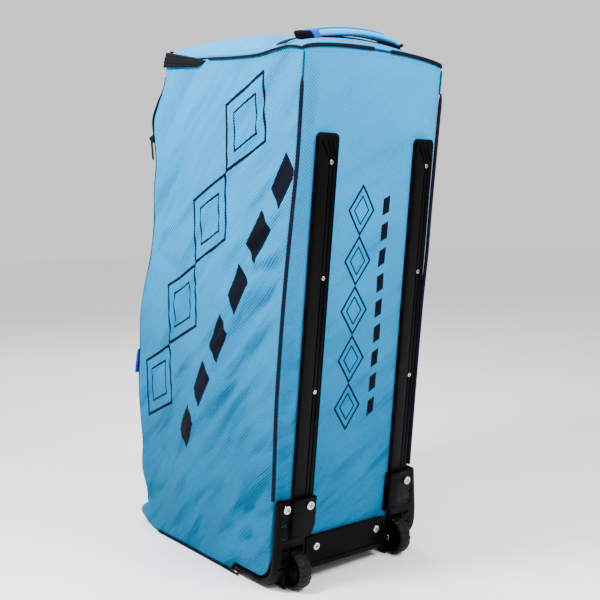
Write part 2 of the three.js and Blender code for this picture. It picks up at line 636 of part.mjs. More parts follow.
// Skid rails: a flat ridge and a lower grooved shelf, with a rounded top end and three slanted ribs
const boardFace = BACK - BOARD_RISE;
for (const side of [LEFT, RIGHT]) {
  const x0 = -RAIL.width / 2;
  const x1 = RAIL.width / 2;
  const inside = boardFace - 0.4;
  const high = boardFace - RAIL.thick;
  const low = high + RAIL.step;
  const step = x0 + RAIL.flat;
  const profile = polygon([
    [x0, inside], [x0, high + 2], [x0 + 2, high], [step, high], [step + 1, low + 1.2], [step + 3, low + 1.2],
    [step + 4, low], [x1 - 4, low], [x1 - 3, low + 1.2], [x1 - 2, low + 1.2], [x1 - 1.5, low], [x1, low + 1],
    [x1, inside],
  ]);
  const bar = new THREE.ExtrudeGeometry(profile, { depth: RAIL.top - RAIL.bottom, bevelEnabled: false });
  bar.translate(0, 0, RAIL.bottom);
  const round = { highLeft: RAIL.round, highRight: RAIL.round };
  const outline = alongY(rounded(x0 - 1, x1 + 1, 0, RAIL.top, round), high - 5, inside + 5);
  const ribs = [0, 1, 2].map((k) => {
    const rib = new THREE.BoxGeometry(15, RAIL.step + 1.4, 2.4).rotateY(radians(38));
    return rib.translate(step + 5, (high + low) / 2 + 0.4, RAIL.top - 16 - 8 * k);
  });
  const splayed = (geometry) => {
    geometry.translate(0, 0, -RAIL.bottom).rotateY(-side * RAIL.splay);
    return geometry.translate(RAIL.middle[side], 0, RAIL.bottom);
  };
  piece(`${sideName(side)}_rail`, splayed(join(common(bar, outline), ...ribs)), "blackPlastic");
  RAIL_SCREWS.forEach((z, k) => {
    const head = splayed(screwHead(SMALL_SCREW, RAIL_SCREW_OFFSET, low, z));
    piece(`${sideName(side)}_rail_screw_${k + 1}`, head, "steel");
  });
}

// Wheel housings: an edge profile swept down the back, round the corner and along the foot.
// The wheel is open on its outer side, so the cheek on the inner side carries the axle.
const housingOuter = {
  [LEFT]: curveThrough(HOUSING_OUTLINE, "height", "left"),
  [RIGHT]: curveThrough(HOUSING_OUTLINE, "height", "right"),
};

function housingFrames() {
  const frames = [];
  for (const z of [HOUSING.top, 160, 130, 104, BEND_Z]) frames.push({ y: HOUSING.face, z, iy: 1, iz: 0 });
  const last = Math.PI * 1.5 - LEAN;
  for (let k = 1; k <= 7; k += 1) {
    const angle = lerp(Math.PI, last, k / 7);
    const [cy, cz] = [Math.cos(angle), Math.sin(angle)];
    frames.push({ y: BEND_Y + HOUSING.bend * cy, z: BEND_Z + HOUSING.bend * cz, iy: -cy, iz: -cz });
  }
  const foot = { y: HOUSING.foot, z: floorAt(HOUSING.foot) + FLOOR_GAP / Math.cos(LEAN) };
  frames.push({ ...foot, iy: Math.sin(LEAN), iz: Math.cos(LEAN) });
  return frames;
}

function housing(side) {
  const { inner, face, plate, rim, rimWidth, top } = HOUSING;
  const rings = housingFrames().map(({ y, z, iy, iz }) => {
    const outer = housingOuter[side](z);
    const edge = [
      [inner, 0], [outer - 9, 0], [outer - 3, 2], [outer - 0.6, 5], [outer, 8], [outer, rim - 3],
      [outer - 2, rim], [outer - rimWidth, rim], [outer - rimWidth, plate], [inner, plate],
    ];
    return edge.map(([across, depth]) => new THREE.Vector3(side * across, y + iy * depth, z + iz * depth));
  });
  const span = side === LEFT ? [-180, 1 - inner] : [inner - 1, 180];
  const crestOuter = housingOuter[side](top) + 1;
  const edgeSpan = side === LEFT ? [-crestOuter, span[1]] : [span[0], crestOuter];
  const corners = side === LEFT ? { highLeft: 15, highRight: 6 } : { highLeft: 6, highRight: 15 };
  const crest = alongY(rounded(edgeSpan[0], edgeSpan[1], top - 20, top, corners), -270, -60);
  const outline = join(crest, box(span, [-270, -60], [-60, top - 19]));
  const shell = common(loft(rings), outline);
  const { column, block } = SLEEVES[side];
  const behind = face + 4;
  const columnShape = polygon([
    [behind, 120], [face + 0.5, 120], [face - 6.5, 128], [face - 6.5, top], [behind, top],
  ]);
  const blockShape = polygon([
    [behind, 122], [face + 0.5, 122], [face - 5, 140], [face - 5, top - 1], [behind, top - 1],
  ]);
  const wellX = [side * (WELL.across - WELL.width / 2), side * (WELL.across + WELL.width / 2)];
  const low = Math.min(...wellX);
  const high = Math.max(...wellX);
  const cheek = new THREE.Shape();
  cheek.moveTo(WELL.back + WELL.wall, 28);
  cheek.lineTo(WELL.back + WELL.wall, WELL.top + WELL.wall);
  cheek.lineTo(face + 5, WELL.top + WELL.wall);
  cheek.lineTo(face + 5, wheelHeight + 22);
  cheek.quadraticCurveTo(face - 6, wheelHeight + 14, face - 6, wheelHeight);
  cheek.quadraticCurveTo(face - 6, wheelHeight - 9, face + 4, wheelHeight - 9);
  cheek.lineTo(face + 20, 28);
  const lowInner = box([side * (inner - 5), side * HOUSING.lowInner], [-270, -60], [-60, HOUSING.lowTop]);
  const window = box(wellX, [-270, WELL.back], [-60, WELL.top]);
  const lining = box(
    [low - WELL.wall, high + WELL.wall], [face + 5, WELL.back + WELL.wall], [28, WELL.top + WELL.wall],
  );
  const bore = new THREE.CylinderGeometry(AXLE_RADIUS + 0.3, AXLE_RADIUS + 0.3, 40, 16).rotateZ(Math.PI / 2);
  bore.translate(side * (WELL.across - 20), WHEEL.depth, wheelHeight);
  const slots = SLOTS.map(({ across, height }) => {
    const slot = new THREE.BoxGeometry(13.5, 40, 3.2);
    return slot.translate(side * across, HOUSING.face + 4, height);
  });
  const sleeves = join(alongX(columnShape, ...column), alongX(blockShape, ...block));
  const clad = cut(join(shell, sleeves), lowInner, ...slots);
  const innerWall = side === LEFT ? [high, high + WELL.wall] : [low - WELL.wall, low];
  return cut(join(clad, lining, alongX(cheek, ...innerWall)), window, bore);
}

// Wheels: a lugged tyre on a hub that turns on a steel axle
const wheelHeight = (WHEEL.radius - WHEEL.depth * Math.sin(LEAN)) / Math.cos(LEAN);
function tyre() {
  const half = WHEEL.width / 2;
  const tread = WHEEL.radius - WHEEL.lugRise;
  const seat = WHEEL.rim + 0.9;
  const profile = [
    [seat, -half + 3], [seat + 3, -half + 0.5], [tread - 3, -half + 0.5], [tread, -half + 5],
    [tread, half - 5], [tread - 3, half - 0.5], [seat + 3, half - 0.5], [seat, half - 3], [seat, -half + 3],
  ];
  const core = new THREE.LatheGeometry(profile.map(([r, h]) => new THREE.Vector2(r, h)), 18);
  const lugs = [];
  for (let k = 0; k < WHEEL.lugs; k += 1) {
    const lug = new THREE.BoxGeometry(7, WHEEL.width, WHEEL.lugRise + 3);
    lug.translate(0, 0, -WHEEL.radius + (WHEEL.lugRise + 3) / 2);
    lugs.push(lug.rotateY((k / WHEEL.lugs) * Math.PI * 2));
  }
  return join(core, ...lugs).rotateZ(Math.PI / 2).rotateX(-LEAN);
}

function hub() {
  const bore = AXLE_RADIUS + 0.3;
  const half = WHEEL.width / 2;
  const rim = WHEEL.rim;
  const profile = [
    [bore, -half - 1], [bore + 4, -half - 1], [bore + 5, -half + 4], [rim - 4, -half + 4], [rim, -half + 1],
    [rim, half - 1], [rim - 4, half - 4], [bore + 5, half - 4], [bore + 4, half + 1], [bore, half + 1],
    [bore, -half - 1],
  ];
  return new THREE.LatheGeometry(profile.map(([r, h]) => new THREE.Vector2(r, h)), 12).rotateZ(Math.PI / 2);
}

for (const side of [LEFT, RIGHT]) {
  const name = sideName(side);
  piece(`${name}_wheel_housing`, housing(side), "blackPlastic");
  const place = [side * WHEEL.across, WHEEL.depth, wheelHeight];
  piece(`${name}_tyre`, tyre().translate(...place), "tyreRubber");
  piece(`${name}_hub`, hub().translate(...place), "blackPlastic");
  const inner = WELL.across - WELL.width / 2 - WELL.wall;
  const outer = WELL.across + WHEEL.width / 2;
  const rod = new THREE.CylinderGeometry(AXLE_RADIUS, AXLE_RADIUS, outer - inner + 1.4, 16);
  const head = new THREE.CylinderGeometry(AXLE_RADIUS + 1.8, AXLE_RADIUS + 1.8, 1.2, 16);
  const axle = join(
    rod.rotateZ(Math.PI / 2).translate((side * (outer + inner - 1.4)) / 2, 0, 0),
    head.rotateZ(Math.PI / 2).translate(side * (inner - 0.9), 0, 0),
  );
  piece(`${name}_axle`, axle.translate(0, WHEEL.depth, wheelHeight), "steel");
}
for (const { name, across, height, face } of HOUSING_SCREWS) {
  piece(name, screwHead(BIG_SCREW, across, face, height), "steel");
}

// Kick plate between the housings, a little askew, with a lip along its lower edge
const kickRounds = { low: 8, highLeft: 2, highRight: 12 };
const kickOutline = rounded(KICK.left, KICK.right, KICK.bottom, KICK.top, kickRounds);
const lipOutline = rounded(KICK.left, KICK.right, KICK.bottom, KICK.lip, { low: 8 });
const kickPlate = join(
  alongY(kickOutline, KICK.face, boardFace - 0.5),
  alongY(lipOutline, KICK.lipFace, boardFace - 0.5),
);
const kickMiddle = [(KICK.left + KICK.right) / 2, 0, (KICK.bottom + KICK.top) / 2];
kickPlate.translate(...kickMiddle.map((v) => -v)).rotateY(KICK.tilt).translate(...kickMiddle);
piece("kick_plate", kickPlate, "blackPlastic");
for (const side of [LEFT, RIGHT]) {
  const { across, height } = KICK_SCREWS[side];
  piece(`${sideName(side)}_kick_plate_screw`, screwHead(BIG_SCREW, across, KICK.face, height), "steel");
}

// Top carry handle: webbing on the top, black tabs that rise from it, and the padded grip between them
const topShare = (x) => (x + TOP_HALF) / (2 * TOP_HALF);
const webbingSurface = (u, v) => {
  const x = lerp(-TOP_HALF, TOP_HALF, u);
  const y = TOP_HANDLE_DEPTH + lerp(-TOP_WEBBING.wide / 2, TOP_WEBBING.wide / 2, v);
  return new THREE.Vector3(x, y, topHeight(x, y) + SEAM / 2);
};
const strap = { thick: TOP_WEBBING.thick, lift: TOP_WEBBING.thick + TOP_WEBBING.lift };
const webbingEnds = [topShare(-TOP_WEBBING.half), topShare(TOP_WEBBING.half)];
const webbingColumns = topColumns.filter((u) => u > webbingEnds[0] && u < webbingEnds[1]);
const webbingShares = [webbingEnds[0], ...webbingColumns, webbingEnds[1]];
piece("top_handle_webbing", wall(webbingSurface, webbingShares, 2, strap), "blackCloth");

const gripRings = TOP_HANDLE.map(({ across, height, thick, wide }) => {
  const ring = [];
  for (let k = 0; k < 12; k += 1) {
    const angle = (k / 12) * Math.PI * 2;
    const y = TOP_HANDLE_DEPTH + (wide / 2) * Math.cos(angle);
    ring.push(new THREE.Vector3(across, y, height + (thick / 2) * Math.sin(angle)));
  }
  return ring;
});
piece("top_handle_grip", loft(gripRings), "meshCloth");

const gripEnd = TOP_HANDLE[TOP_HANDLE.length - 1];
const TAB_STEPS = [
  { along: 0, lift: 0, thick: 4.4 },
  { along: 0.35, lift: 0.18, thick: 7 },
  { along: 0.7, lift: 0.7, thick: 9.5 },
  { along: 1, lift: 1, thick: 10.5 },
];
for (const side of [LEFT, RIGHT]) {
  const start = side * (TOP_WEBBING.half - 2);
  const end = side * (gripEnd.across + 0.5);
  const rings = TAB_STEPS.map(({ along, lift, thick }) => {
    const x = lerp(start, end, along);
    const onTop = topHeight(x, TOP_HANDLE_DEPTH) + SEAM / 2 + TOP_WEBBING.thick + TOP_WEBBING.lift + 4.6;
    const z = lerp(onTop, gripEnd.height, lift);
    const half = TOP_WEBBING.wide / 2 - 1;
    return [[-half, -thick / 2], [half, -thick / 2], [half, thick / 2], [-half, thick / 2]].map(([dy, dz]) =>
      new THREE.Vector3(x, TOP_HANDLE_DEPTH + dy, z + dz));
  });
  piece(`top_handle_${sideName(side)}_tab`, loft(rings), "blackCloth");
}

// Front carry handle: a padded band across the belly of the front, on two webbing anchors
const frontShare = (FRONT_BAND.height - FRONT_OUTLINE[0].height) / (heightGuess(1) - heightGuess(0));
function frontDepth(x, t) {
  const beyond = Math.max(0, Math.abs(x) - (HALF_WIDTH - CORNER)) / CORNER;
  if (beyond > 0) return cornerPoint(LEFT, Math.acos(Math.min(1, beyond)), t).y;
  const u = lerp(CORNER_SHARE, 1 - CORNER_SHARE, (x / (HALF_WIDTH - CORNER) + 1) / 2);
  return frontPoint(u, t).y;
}

const bandRings = [];
const BAND_STEPS = 12;
for (let k = 0; k <= BAND_STEPS; k += 1) {
  const share = k / BAND_STEPS;
  const x = lerp(-FRONT_BAND.half, FRONT_BAND.half, share);
  const standOff = lerp(FRONT_BAND.endStandOff, FRONT_BAND.standOff, Math.sin(share * Math.PI) ** 0.8);
  const y = frontDepth(x, frontShare) + standOff;
  const ring = [];
  for (let i = 0; i < 10; i += 1) {
    const angle = (i / 10) * Math.PI * 2;
    const up = (FRONT_BAND.tall / 2) * Math.cos(angle);
    const out = (FRONT_BAND.thick / 2) * Math.sin(angle) - (FRONT_BAND.droop * up) / FRONT_BAND.tall;
    ring.push(new THREE.Vector3(x, y + out, FRONT_BAND.height + up));
  }
  bandRings.push(ring);
}
piece("front_handle_band", loft(bandRings), "bandCloth");

for (const side of [LEFT, RIGHT]) {
  const surface = (u, v) => {
    const x = side * (ANCHOR.across - ANCHOR.wide / 2 + ANCHOR.wide * u);
    return new THREE.Vector3(x, frontDepth(x, v), sideHeight(frontAt(heightGuess(v)), v));
  };
  const options = { out: -side, thick: 1.8, lift: 2.4 };
  const levels = LEVELS.slice(ANCHOR.from, ANCHOR.to + 1);
  piece(`front_handle_${sideName(side)}_anchor`, wall(surface, 2, levels, options), "blackCloth");
}

// Stand the bag on the floor over the middle of its own outline
bag.updateMatrixWorld(true);
const bounds = new THREE.Box3().setFromObject(bag, true);
const middle = bounds.getCenter(new THREE.Vector3());
bag.position.set(-middle.x, -middle.y, -bounds.min.z);
bag.updateMatrixWorld(true);

export default bag;
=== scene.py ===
# %% [markdown]
# # Dressing a wheeled duffel bag
# The bag is a tall cloth box on a stiff back board. It stands on its wheel end and leans a little
# towards its wheels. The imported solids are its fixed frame. This lesson replaces the soft solids with
# sewn cloth and finishes the hard ones.

# %% Load the solids as a fixed frame
import math

import bpy
import numpy as np
from mathutils import Matrix, Vector


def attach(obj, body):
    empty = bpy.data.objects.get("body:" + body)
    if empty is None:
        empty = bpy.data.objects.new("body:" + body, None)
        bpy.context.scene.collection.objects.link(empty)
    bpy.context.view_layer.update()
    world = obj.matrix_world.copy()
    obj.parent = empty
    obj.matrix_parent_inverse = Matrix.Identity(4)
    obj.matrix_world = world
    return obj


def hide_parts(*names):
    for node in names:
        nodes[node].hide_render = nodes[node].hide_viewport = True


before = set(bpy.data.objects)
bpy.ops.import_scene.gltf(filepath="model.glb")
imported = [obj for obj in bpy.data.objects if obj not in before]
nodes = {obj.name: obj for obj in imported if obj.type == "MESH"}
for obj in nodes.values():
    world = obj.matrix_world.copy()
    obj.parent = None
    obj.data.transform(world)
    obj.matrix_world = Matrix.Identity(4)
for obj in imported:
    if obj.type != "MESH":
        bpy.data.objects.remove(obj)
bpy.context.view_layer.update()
scene = bpy.context.scene
bpy.ops.object.select_all(action="DESELECT")

# %% [markdown]
# The camera stands where the photographer stood: a little above the middle of the bag, off its left
# back corner. The turn of the camera is written as its own right, up and backward directions, because
# that is what a fit of the photograph's straight edges gives. The light is a plain studio: white all
# round, a small key light above the left side, a weaker fill that faces the back and a broad light from
# beyond the bag.

# %% Camera, light and floor
SHIFT_X, SHIFT_Y = -0.002032, 0.009306
CAMERA = Vector((-0.99015 + SHIFT_X, -1.31941 + SHIFT_Y, 0.61302))
CAMERA_RIGHT = (0.773308, -0.633708, -0.020227)
CAMERA_UP = (0.070823, 0.054634, 0.995992)
CAMERA_BACK = (-0.630063, -0.77164, 0.08713)

camera = bpy.data.objects.new("camera", bpy.data.cameras.new("camera"))
scene.collection.objects.link(camera)
camera.data.sensor_width = 36
camera.data.lens = 51.243
turn = Matrix((CAMERA_RIGHT, CAMERA_UP, CAMERA_BACK)).transposed().to_4x4()
camera.matrix_world = Matrix.Translation(CAMERA) @ turn
scene.camera = camera


def softbox(name, place, size, power, aim=(0, 0, 0.5)):
    light = bpy.data.objects.new(name, bpy.data.lights.new(name, "AREA"))
    scene.collection.objects.link(light)
    light.data.shape = "DISK"
    light.data.size = size
    light.data.energy = power
    light.location = place
    light.rotation_euler = (Vector(aim) - Vector(place)).to_track_quat("-Z", "Y").to_euler()


softbox("key", (-1.02, 0.02, 1.64), 0.4, 62, (-0.16, -0.02, 0.5))
softbox("fill", (0.25, -1.5, 1.55), 0.8, 50, (0.0, -0.25, 0.45))
softbox("back_light", (0.6, 2.4, 2.6), 2.4, 60)
world = bpy.data.worlds.new("studio")
scene.world = world
world.use_nodes = True
world.node_tree.nodes["Background"].inputs["Color"].default_value = (1, 1, 1, 1)
world.node_tree.nodes["Background"].inputs["Strength"].default_value = 1.0

bpy.ops.mesh.primitive_plane_add(size=30, location=(0, 0, -0.0004))
floor = bpy.context.object
floor.name = "floor"
print("camera at", [round(v, 3) for v in camera.location])

# %% [markdown]
# Each finish is a small graph of shader nodes. Two helpers keep the sums readable: a Wire stands for a
# socket and can be added, multiplied and compared as a number can, and a Finish owns one material and
# makes any other node from its type, its settings and its socket values.


# %% Helpers for shader sums
class Wire:
    def __init__(self, finish, socket):
        self.finish = finish
        self.socket = socket

    def sum(self, operation, *others):
        return self.finish.node("ShaderNodeMath", {"operation": operation}, dict(enumerate((self, *others))))

    def __add__(self, other):
        return self.sum("ADD", other)

    def __sub__(self, other):
        return self.sum("SUBTRACT", other)

    def __mul__(self, other):
        return self.sum("MULTIPLY", other)

    def __truediv__(self, other):
        return self.sum("DIVIDE", other)

    def __lt__(self, other):
        return self.sum("LESS_THAN", other)

    def __abs__(self):
        return self.sum("ABSOLUTE")


class Finish:
    def __init__(self, name, constants):
        self.material = bpy.data.materials.new(name)
        self.material.use_nodes = True
        self.tree = self.material.node_tree
        self.shader = self.tree.nodes["Principled BSDF"]
        for socket, value in constants.items():
            self.shader.inputs[socket].default_value = value

    def node(self, kind, settings, inputs, out=0):
        made = self.tree.nodes.new(kind)
        for name, value in settings.items():
            setattr(made, name, value)
        for socket, value in inputs.items():
            if isinstance(value, Wire):
                self.tree.links.new(value.socket, made.inputs[socket])
            else:
                made.inputs[socket].default_value = value
        return Wire(self, made.outputs[out])

    def feed(self, socket, wire):
        self.tree.links.new(wire.socket, self.shader.inputs[socket])

    def split(self, vector):
        return [self.node("ShaderNodeSeparateXYZ", {}, {0: vector}, k) for k in range(3)]

    def place(self):
        return self.node("ShaderNodeTexCoord", {}, {}, "Object")

    def cloth_place(self):
        return self.node("ShaderNodeUVMap", {"uv_map": "cloth"}, {})

    def noise(self, place, scale, detail=2.0):
        return self.node("ShaderNodeTexNoise", {}, {"Vector": place, "Scale": scale, "Detail": detail})

    def stretched(self, place, scale):
        return self.node("ShaderNodeMapping", {}, {0: place, 3: scale})

    def between(self, wire, low, high, to_low=0.0, to_high=1.0):
        ends = {"From Min": low, "From Max": high, "To Min": to_low, "To Max": to_high}
        return self.node("ShaderNodeMapRange", {"interpolation_type": "SMOOTHSTEP"}, {"Value": wire, **ends})

    def wave(self, wire, period):
        return (wire * (2 * math.pi / period)).sum("SINE") * 0.5 + 0.5

    def mix(self, share, first, second):
        return self.node("ShaderNodeMix", {"data_type": "RGBA"}, {0: share, 6: first, 7: second}, 2)

    def bump(self, height, distance, strength=1.0):
        values = {"Height": height, "Distance": distance, "Strength": strength}
        self.feed("Normal", self.node("ShaderNodeBump", {}, values))


print("shader helpers ready")

# %% [markdown]
# The body cloth is a sky blue polyester twill. Its yarns run on the diagonal, so the pattern reads the
# cloth's own map, which is laid out in metres on every panel. Thick and thin yarns come from a
# stretched noise. A printed panel adds a dark design: a row of outlined diamonds, one inside another,
# and a row of slanted dashes. Creases too soft for the mesh are a stretched noise in the bump, which is
# deeper towards the foot. The colour also holds painted light: it is paler towards the top and deeper
# towards the foot. The back cloth's bend under the kick plate is painted navy, as painted shade.

# %% Blue cloth, plain and printed
DEEP_BLUE = (0.0, 0.080, 0.168, 1)
PALE_BLUE = (0.0, 0.265, 0.590, 1)
# The print's navy is also used as painted shade on the back cloth under the kick plate.
PRINT_AND_SHADE_NAVY = (0.0010, 0.0016, 0.0060, 1)
TWILL = 0.0058
YARN = 0.0015


def row_places(u, v, row):
    slant = math.radians(row["slant"])
    along = (u - row["u"]) * math.cos(slant) + (v - row["v"]) * math.sin(slant)
    across = (v - row["v"]) * math.cos(slant) - (u - row["u"]) * math.sin(slant)
    inside = abs(along) < row["count"] * row["pitch"] / 2
    start = 0.0 if row["count"] % 2 == 0 else row["pitch"] / 2
    from_middle = (along + start).sum("FLOORED_MODULO", row["pitch"]) - row["pitch"] / 2
    return from_middle, across, inside


def diamond_row(u, v, row):
    along, across, inside = row_places(u, v, row)
    long, wide = row["long"] / 2, row["wide"] / 2
    reach = abs(along) / long + abs(across) / wide
    depth = long * wide / math.hypot(long, wide)
    outer = abs(reach - 1) * depth < row["line"] / 2
    inner = abs(reach - 0.58) * depth < row["line"] / 3
    return (outer + inner).sum("MINIMUM", 1.0) * inside


def dash_row(u, v, row):
    along, across, inside = row_places(u, v, row)
    tilted = abs(along + across * 0.45) < row["long"] / 2
    return tilted * (abs(across) < row["wide"] / 2) * inside


def blue_cloth(name, diamonds, dashes, crease_turn, twill_share=1.0, painted_shade_below=-1.0):
    finish = Finish(name, {"Roughness": 0.7, "Specular IOR Level": 0.05})
    place = finish.cloth_place()
    u, v, _ = finish.split(place)
    height = finish.split(finish.place())[2]
    slub = finish.noise(finish.stretched(place, (700, 90, 1)), 1.0)
    fading = finish.noise(place, 7.0, 3.0)
    diagonal = finish.wave(u + v + (slub - 0.5) * 0.0016, TWILL)
    crossing = finish.wave(u - v, TWILL * 0.62)
    yarns = finish.wave(u - v * 0.35, YARN)
    grain = finish.noise(place, 620.0)
    weave = diagonal * 0.7 + crossing * 0.3
    sharp = finish.between(height, 0.35, 0.85, 0.25, 1.0) * twill_share
    # Painted light: from the height, the cloth is coloured paler towards the top and deeper towards the foot.
    tone = finish.between(height, -0.1, 0.95) * 0.75 + (fading - 0.5) * 0.45
    yarn_tone_and_painted_light = tone + (weave - 0.5) * sharp + (grain - 0.5) * 0.6 + 0.04
    colour = finish.mix(yarn_tone_and_painted_light + (slub - 0.5) * 0.3, DEEP_BLUE, PALE_BLUE)
    worn = finish.between(finish.noise(place, 160.0), 0.18, 0.30)
    if diamonds:
        colour = finish.mix(diamond_row(u, v, diamonds) * worn, colour, PRINT_AND_SHADE_NAVY)
        colour = finish.mix(dash_row(u, v, dashes) * worn, colour, PRINT_AND_SHADE_NAVY)
    # Painted shade: below the given height the back cloth, in shadow under the kick plate, is coloured navy.
    finish.feed("Base Color", finish.mix(height < painted_shade_below, colour, PRINT_AND_SHADE_NAVY))
    c, s = math.cos(math.radians(crease_turn)), math.sin(math.radians(crease_turn))
    along, across = u * c + v * s, v * c - u * s
    narrow = finish.node("ShaderNodeCombineXYZ", {}, {0: along * 9, 1: across * 36})
    broad = finish.node("ShaderNodeCombineXYZ", {}, {0: along * 4, 1: across * 13})
    depth = finish.between(height, 0.9, 0.1, 0.005, 0.014)
    creases = abs(finish.noise(narrow, 1.0, 2.0) - 0.5) * 0.8 + finish.noise(broad, 1.0, 1.0) * 6.0
    finish.bump(weave * 0.00012 + yarns * 0.00012 + slub * 0.0002 + creases * depth, 1.0)
    return finish.material


SIDE_DIAMONDS = {
    "u": 0.060, "v": 0.545, "slant": 116, "count": 4, "pitch": 0.187,
    "long": 0.180, "wide": 0.125, "line": 0.0055,
}
SIDE_DASHES = {
    "u": -0.056, "v": 0.475, "slant": 116, "count": 6, "pitch": 0.105,
    "long": 0.066, "wide": 0.036,
}
BACK_DIAMONDS = {
    "u": -0.020, "v": 0.500, "slant": 90, "count": 5, "pitch": 0.084,
    "long": 0.080, "wide": 0.056, "line": 0.0036,
}
BACK_DASHES = {
    "u": 0.037, "v": 0.500, "slant": 90, "count": 9, "pitch": 0.044,
    "long": 0.028, "wide": 0.015,
}
plain_blue = blue_cloth("blue_cloth", None, None, 35)
side_blue = blue_cloth("blue_cloth_side_print", SIDE_DIAMONDS, SIDE_DASHES, -50, 2.0)
# Painted shade: below 34 mm the back cloth under the kick plate is coloured navy.
back_blue = blue_cloth("blue_cloth_back_print", BACK_DIAMONDS, BACK_DASHES, 30, 0.7, 0.034)
print("blue cloth:", [m.name for m in (plain_blue, side_blue, back_blue)])

# %% [markdown]
# The black soft pieces are tape, webbing and piping, all woven with a fine rib. The padded grip is a
# spacer mesh with small holes, and the front carry band is a royal blue webbing. The hard pieces are
# grained black plastic, rubber and plated steel.

# %% Black, mesh and hard finishes
def woven(name, dark, light, rib, roughness=0.85):
    finish = Finish(name, {"Roughness": roughness, "Specular IOR Level": 0.06})
    place = finish.cloth_place()
    u, v, _ = finish.split(place)
    ribs = finish.wave(v, rib)
    yarns = finish.wave(u + v, rib * 0.8)
    fuzz = finish.noise(place, 900.0)
    finish.feed("Base Color", finish.mix(ribs * 0.35 + fuzz * 0.5, dark, light))
    finish.bump(ribs * 0.7 + yarns * 0.4 + fuzz * 0.3, 0.0005, 0.6)
    return finish.material


def spacer_mesh(name):
    finish = Finish(name, {"Roughness": 0.8, "Specular IOR Level": 0.06})
    place = finish.cloth_place()
    values = {"Vector": place, "Scale": 330.0, "Randomness": 0.25}
    cells = finish.node("ShaderNodeTexVoronoi", {"feature": "F1"}, values)
    hole = finish.between(cells, 0.16, 0.36)
    colour = finish.mix(hole, (0.0, 0.24, 0.50, 1), (0.0, 0.46, 0.90, 1))
    finish.feed("Base Color", colour)
    finish.bump(hole, 0.0006, 0.8)
    return finish.material


def plastic(name, roughness, grain, shine):
    finish = Finish(name, {"Specular IOR Level": shine})
    place = finish.place()
    fine = finish.noise(place, grain, 3.0)
    wide = finish.noise(place, 14.0, 4.0)
    scratches = finish.noise(finish.stretched(place, (60, 60, 6)), 4.0, 6.0)
    scuff = finish.between(scratches, 0.62, 0.72)
    tone = wide * 0.5 + scuff * 0.35
    finish.feed("Base Color", finish.mix(tone, (0.0002, 0.0002, 0.0003, 1), (0.0022, 0.0022, 0.0027, 1)))
    finish.feed("Roughness", fine * 0.12 + scuff * 0.12 + (roughness - 0.06))
    finish.bump(fine, 0.0003, 0.35)
    return finish.material


def steel(name, dark, light):
    finish = Finish(name, {"Metallic": 1.0})
    place = finish.place()
    brushed = finish.noise(finish.stretched(place, (2500, 2500, 200)), 1.0)
    spots = finish.noise(place, 900.0)
    finish.feed("Base Color", finish.mix(spots, (dark, dark, dark, 1), (light, light, light, 1)))
    finish.feed("Roughness", brushed * 0.14 + 0.16)
    finish.bump(brushed, 0.00005, 0.3)
    return finish.material


black_tape = woven("black_tape", (0.0010, 0.0010, 0.0016, 1), (0.0060, 0.0060, 0.0080, 1), 0.0016)
black_cover = woven("black_cover", (0.0030, 0.0030, 0.0065, 1), (0.0100, 0.0100, 0.0210, 1), 0.0011)
royal_band = woven("royal_band", (0.0, 0.020, 0.19, 1), (0.0, 0.045, 0.34, 1), 0.0018)
bright_edge = woven("bright_edge", (0.0, 0.08, 0.36, 1), (0.0, 0.16, 0.60, 1), 0.0012)
seam_blue = woven("seam_blue", (0.0, 0.035, 0.10, 1), (0.0, 0.07, 0.18, 1), 0.0011)
blue_thread = woven("blue_thread", (0.0, 0.17, 0.48, 1), (0.0, 0.27, 0.72, 1), 0.0006)
grip_mesh = spacer_mesh("grip_mesh")
hard_black = plastic("hard_black", 0.42, 1400.0, 0.035)
tread_black = plastic("tread_black", 0.55, 700.0, 0.12)
plated_steel = steel("plated_steel", 0.34, 0.56)
smoked_steel = steel("smoked_steel", 0.015, 0.05)

pale = Finish("pale_floor", {"Roughness": 0.6})
dust = pale.noise(pale.place(), 3.0)
pale.feed("Base Color", pale.mix(dust, (0.93, 0.93, 0.935, 1), (0.96, 0.96, 0.96, 1)))
floor.data.materials.append(pale.material)
print("finishes:", len(bpy.data.materials))

# %% [markdown]
# The soft body has nearly the same surfaces as the solids, in its own leaning frame: x across the back, y
# from the back to the front and z along the bag, in millimetres. Short tables give the outlines, and a
# smooth line through each table gives the values between. The tables repeat the solids' sizes, but the
# top seam near the back lies up to 4.5 mm lower than theirs, with the arch raised to make up for it.

# %% The bag's frame and outlines
LEAN = math.radians(7.36)
LEFT = -1
RIGHT = 1
SIDES = ((LEFT, "left"), (RIGHT, "right"))
HALF_WIDTH = 153.0
BACK = -202.0
BOARD_RISE = 9.0
SEAM = 2.5
SEWN = 0.4
CORNER = 30.0
FLOOR_GAP = 0.6
HOUSING_FACE = -219.0
HOUSING_BEND = 56.0
HOUSING_FOOT = -100.0
ARCH_POWER = 0.6
BACK_FLARE = {
    "height": [40, 217, 346, 510, 590, 668, 750, 912],
    "left": [8, 9, 13, 11, 8, 4, 0, 0],
    "right": [4, 1, -1, -2, 0, -1, -1, 0],
}
FRONT_OUTLINE = {
    "height": [-24, -8, 20, 49, 93, 146, 200, 255, 344, 410, 470, 525, 594, 663, 715, 790, 822, 850, 893],
    "side": [178, 198, 205, 214, 237, 239, 251, 261, 262, 263, 250, 231, 220, 223, 219, 234, 218, 200, 194],
    "front": [232, 282, 246, 243, 264, 266, 278, 288, 289, 290, 277, 258, 246, 249, 245, 261, 245, 226, 216],
}
TOP_OUTLINE = {
    "depth": [-202, -168, -133, -84, -13, 92, 216],
    "seam": [911, 914.5, 911, 904, 902, 902, 897],
    "arch": [13, 24.5, 29, 44, 52, 54, 52],
}


def stand(x, y, z):
    x, y, z = np.broadcast_arrays(x, y, z)
    depth = y * math.cos(LEAN) - z * math.sin(LEAN) + SHIFT_Y * 1000
    return np.stack([x + SHIFT_X * 1000, depth, y * math.sin(LEAN) + z * math.cos(LEAN)], -1) / 1000


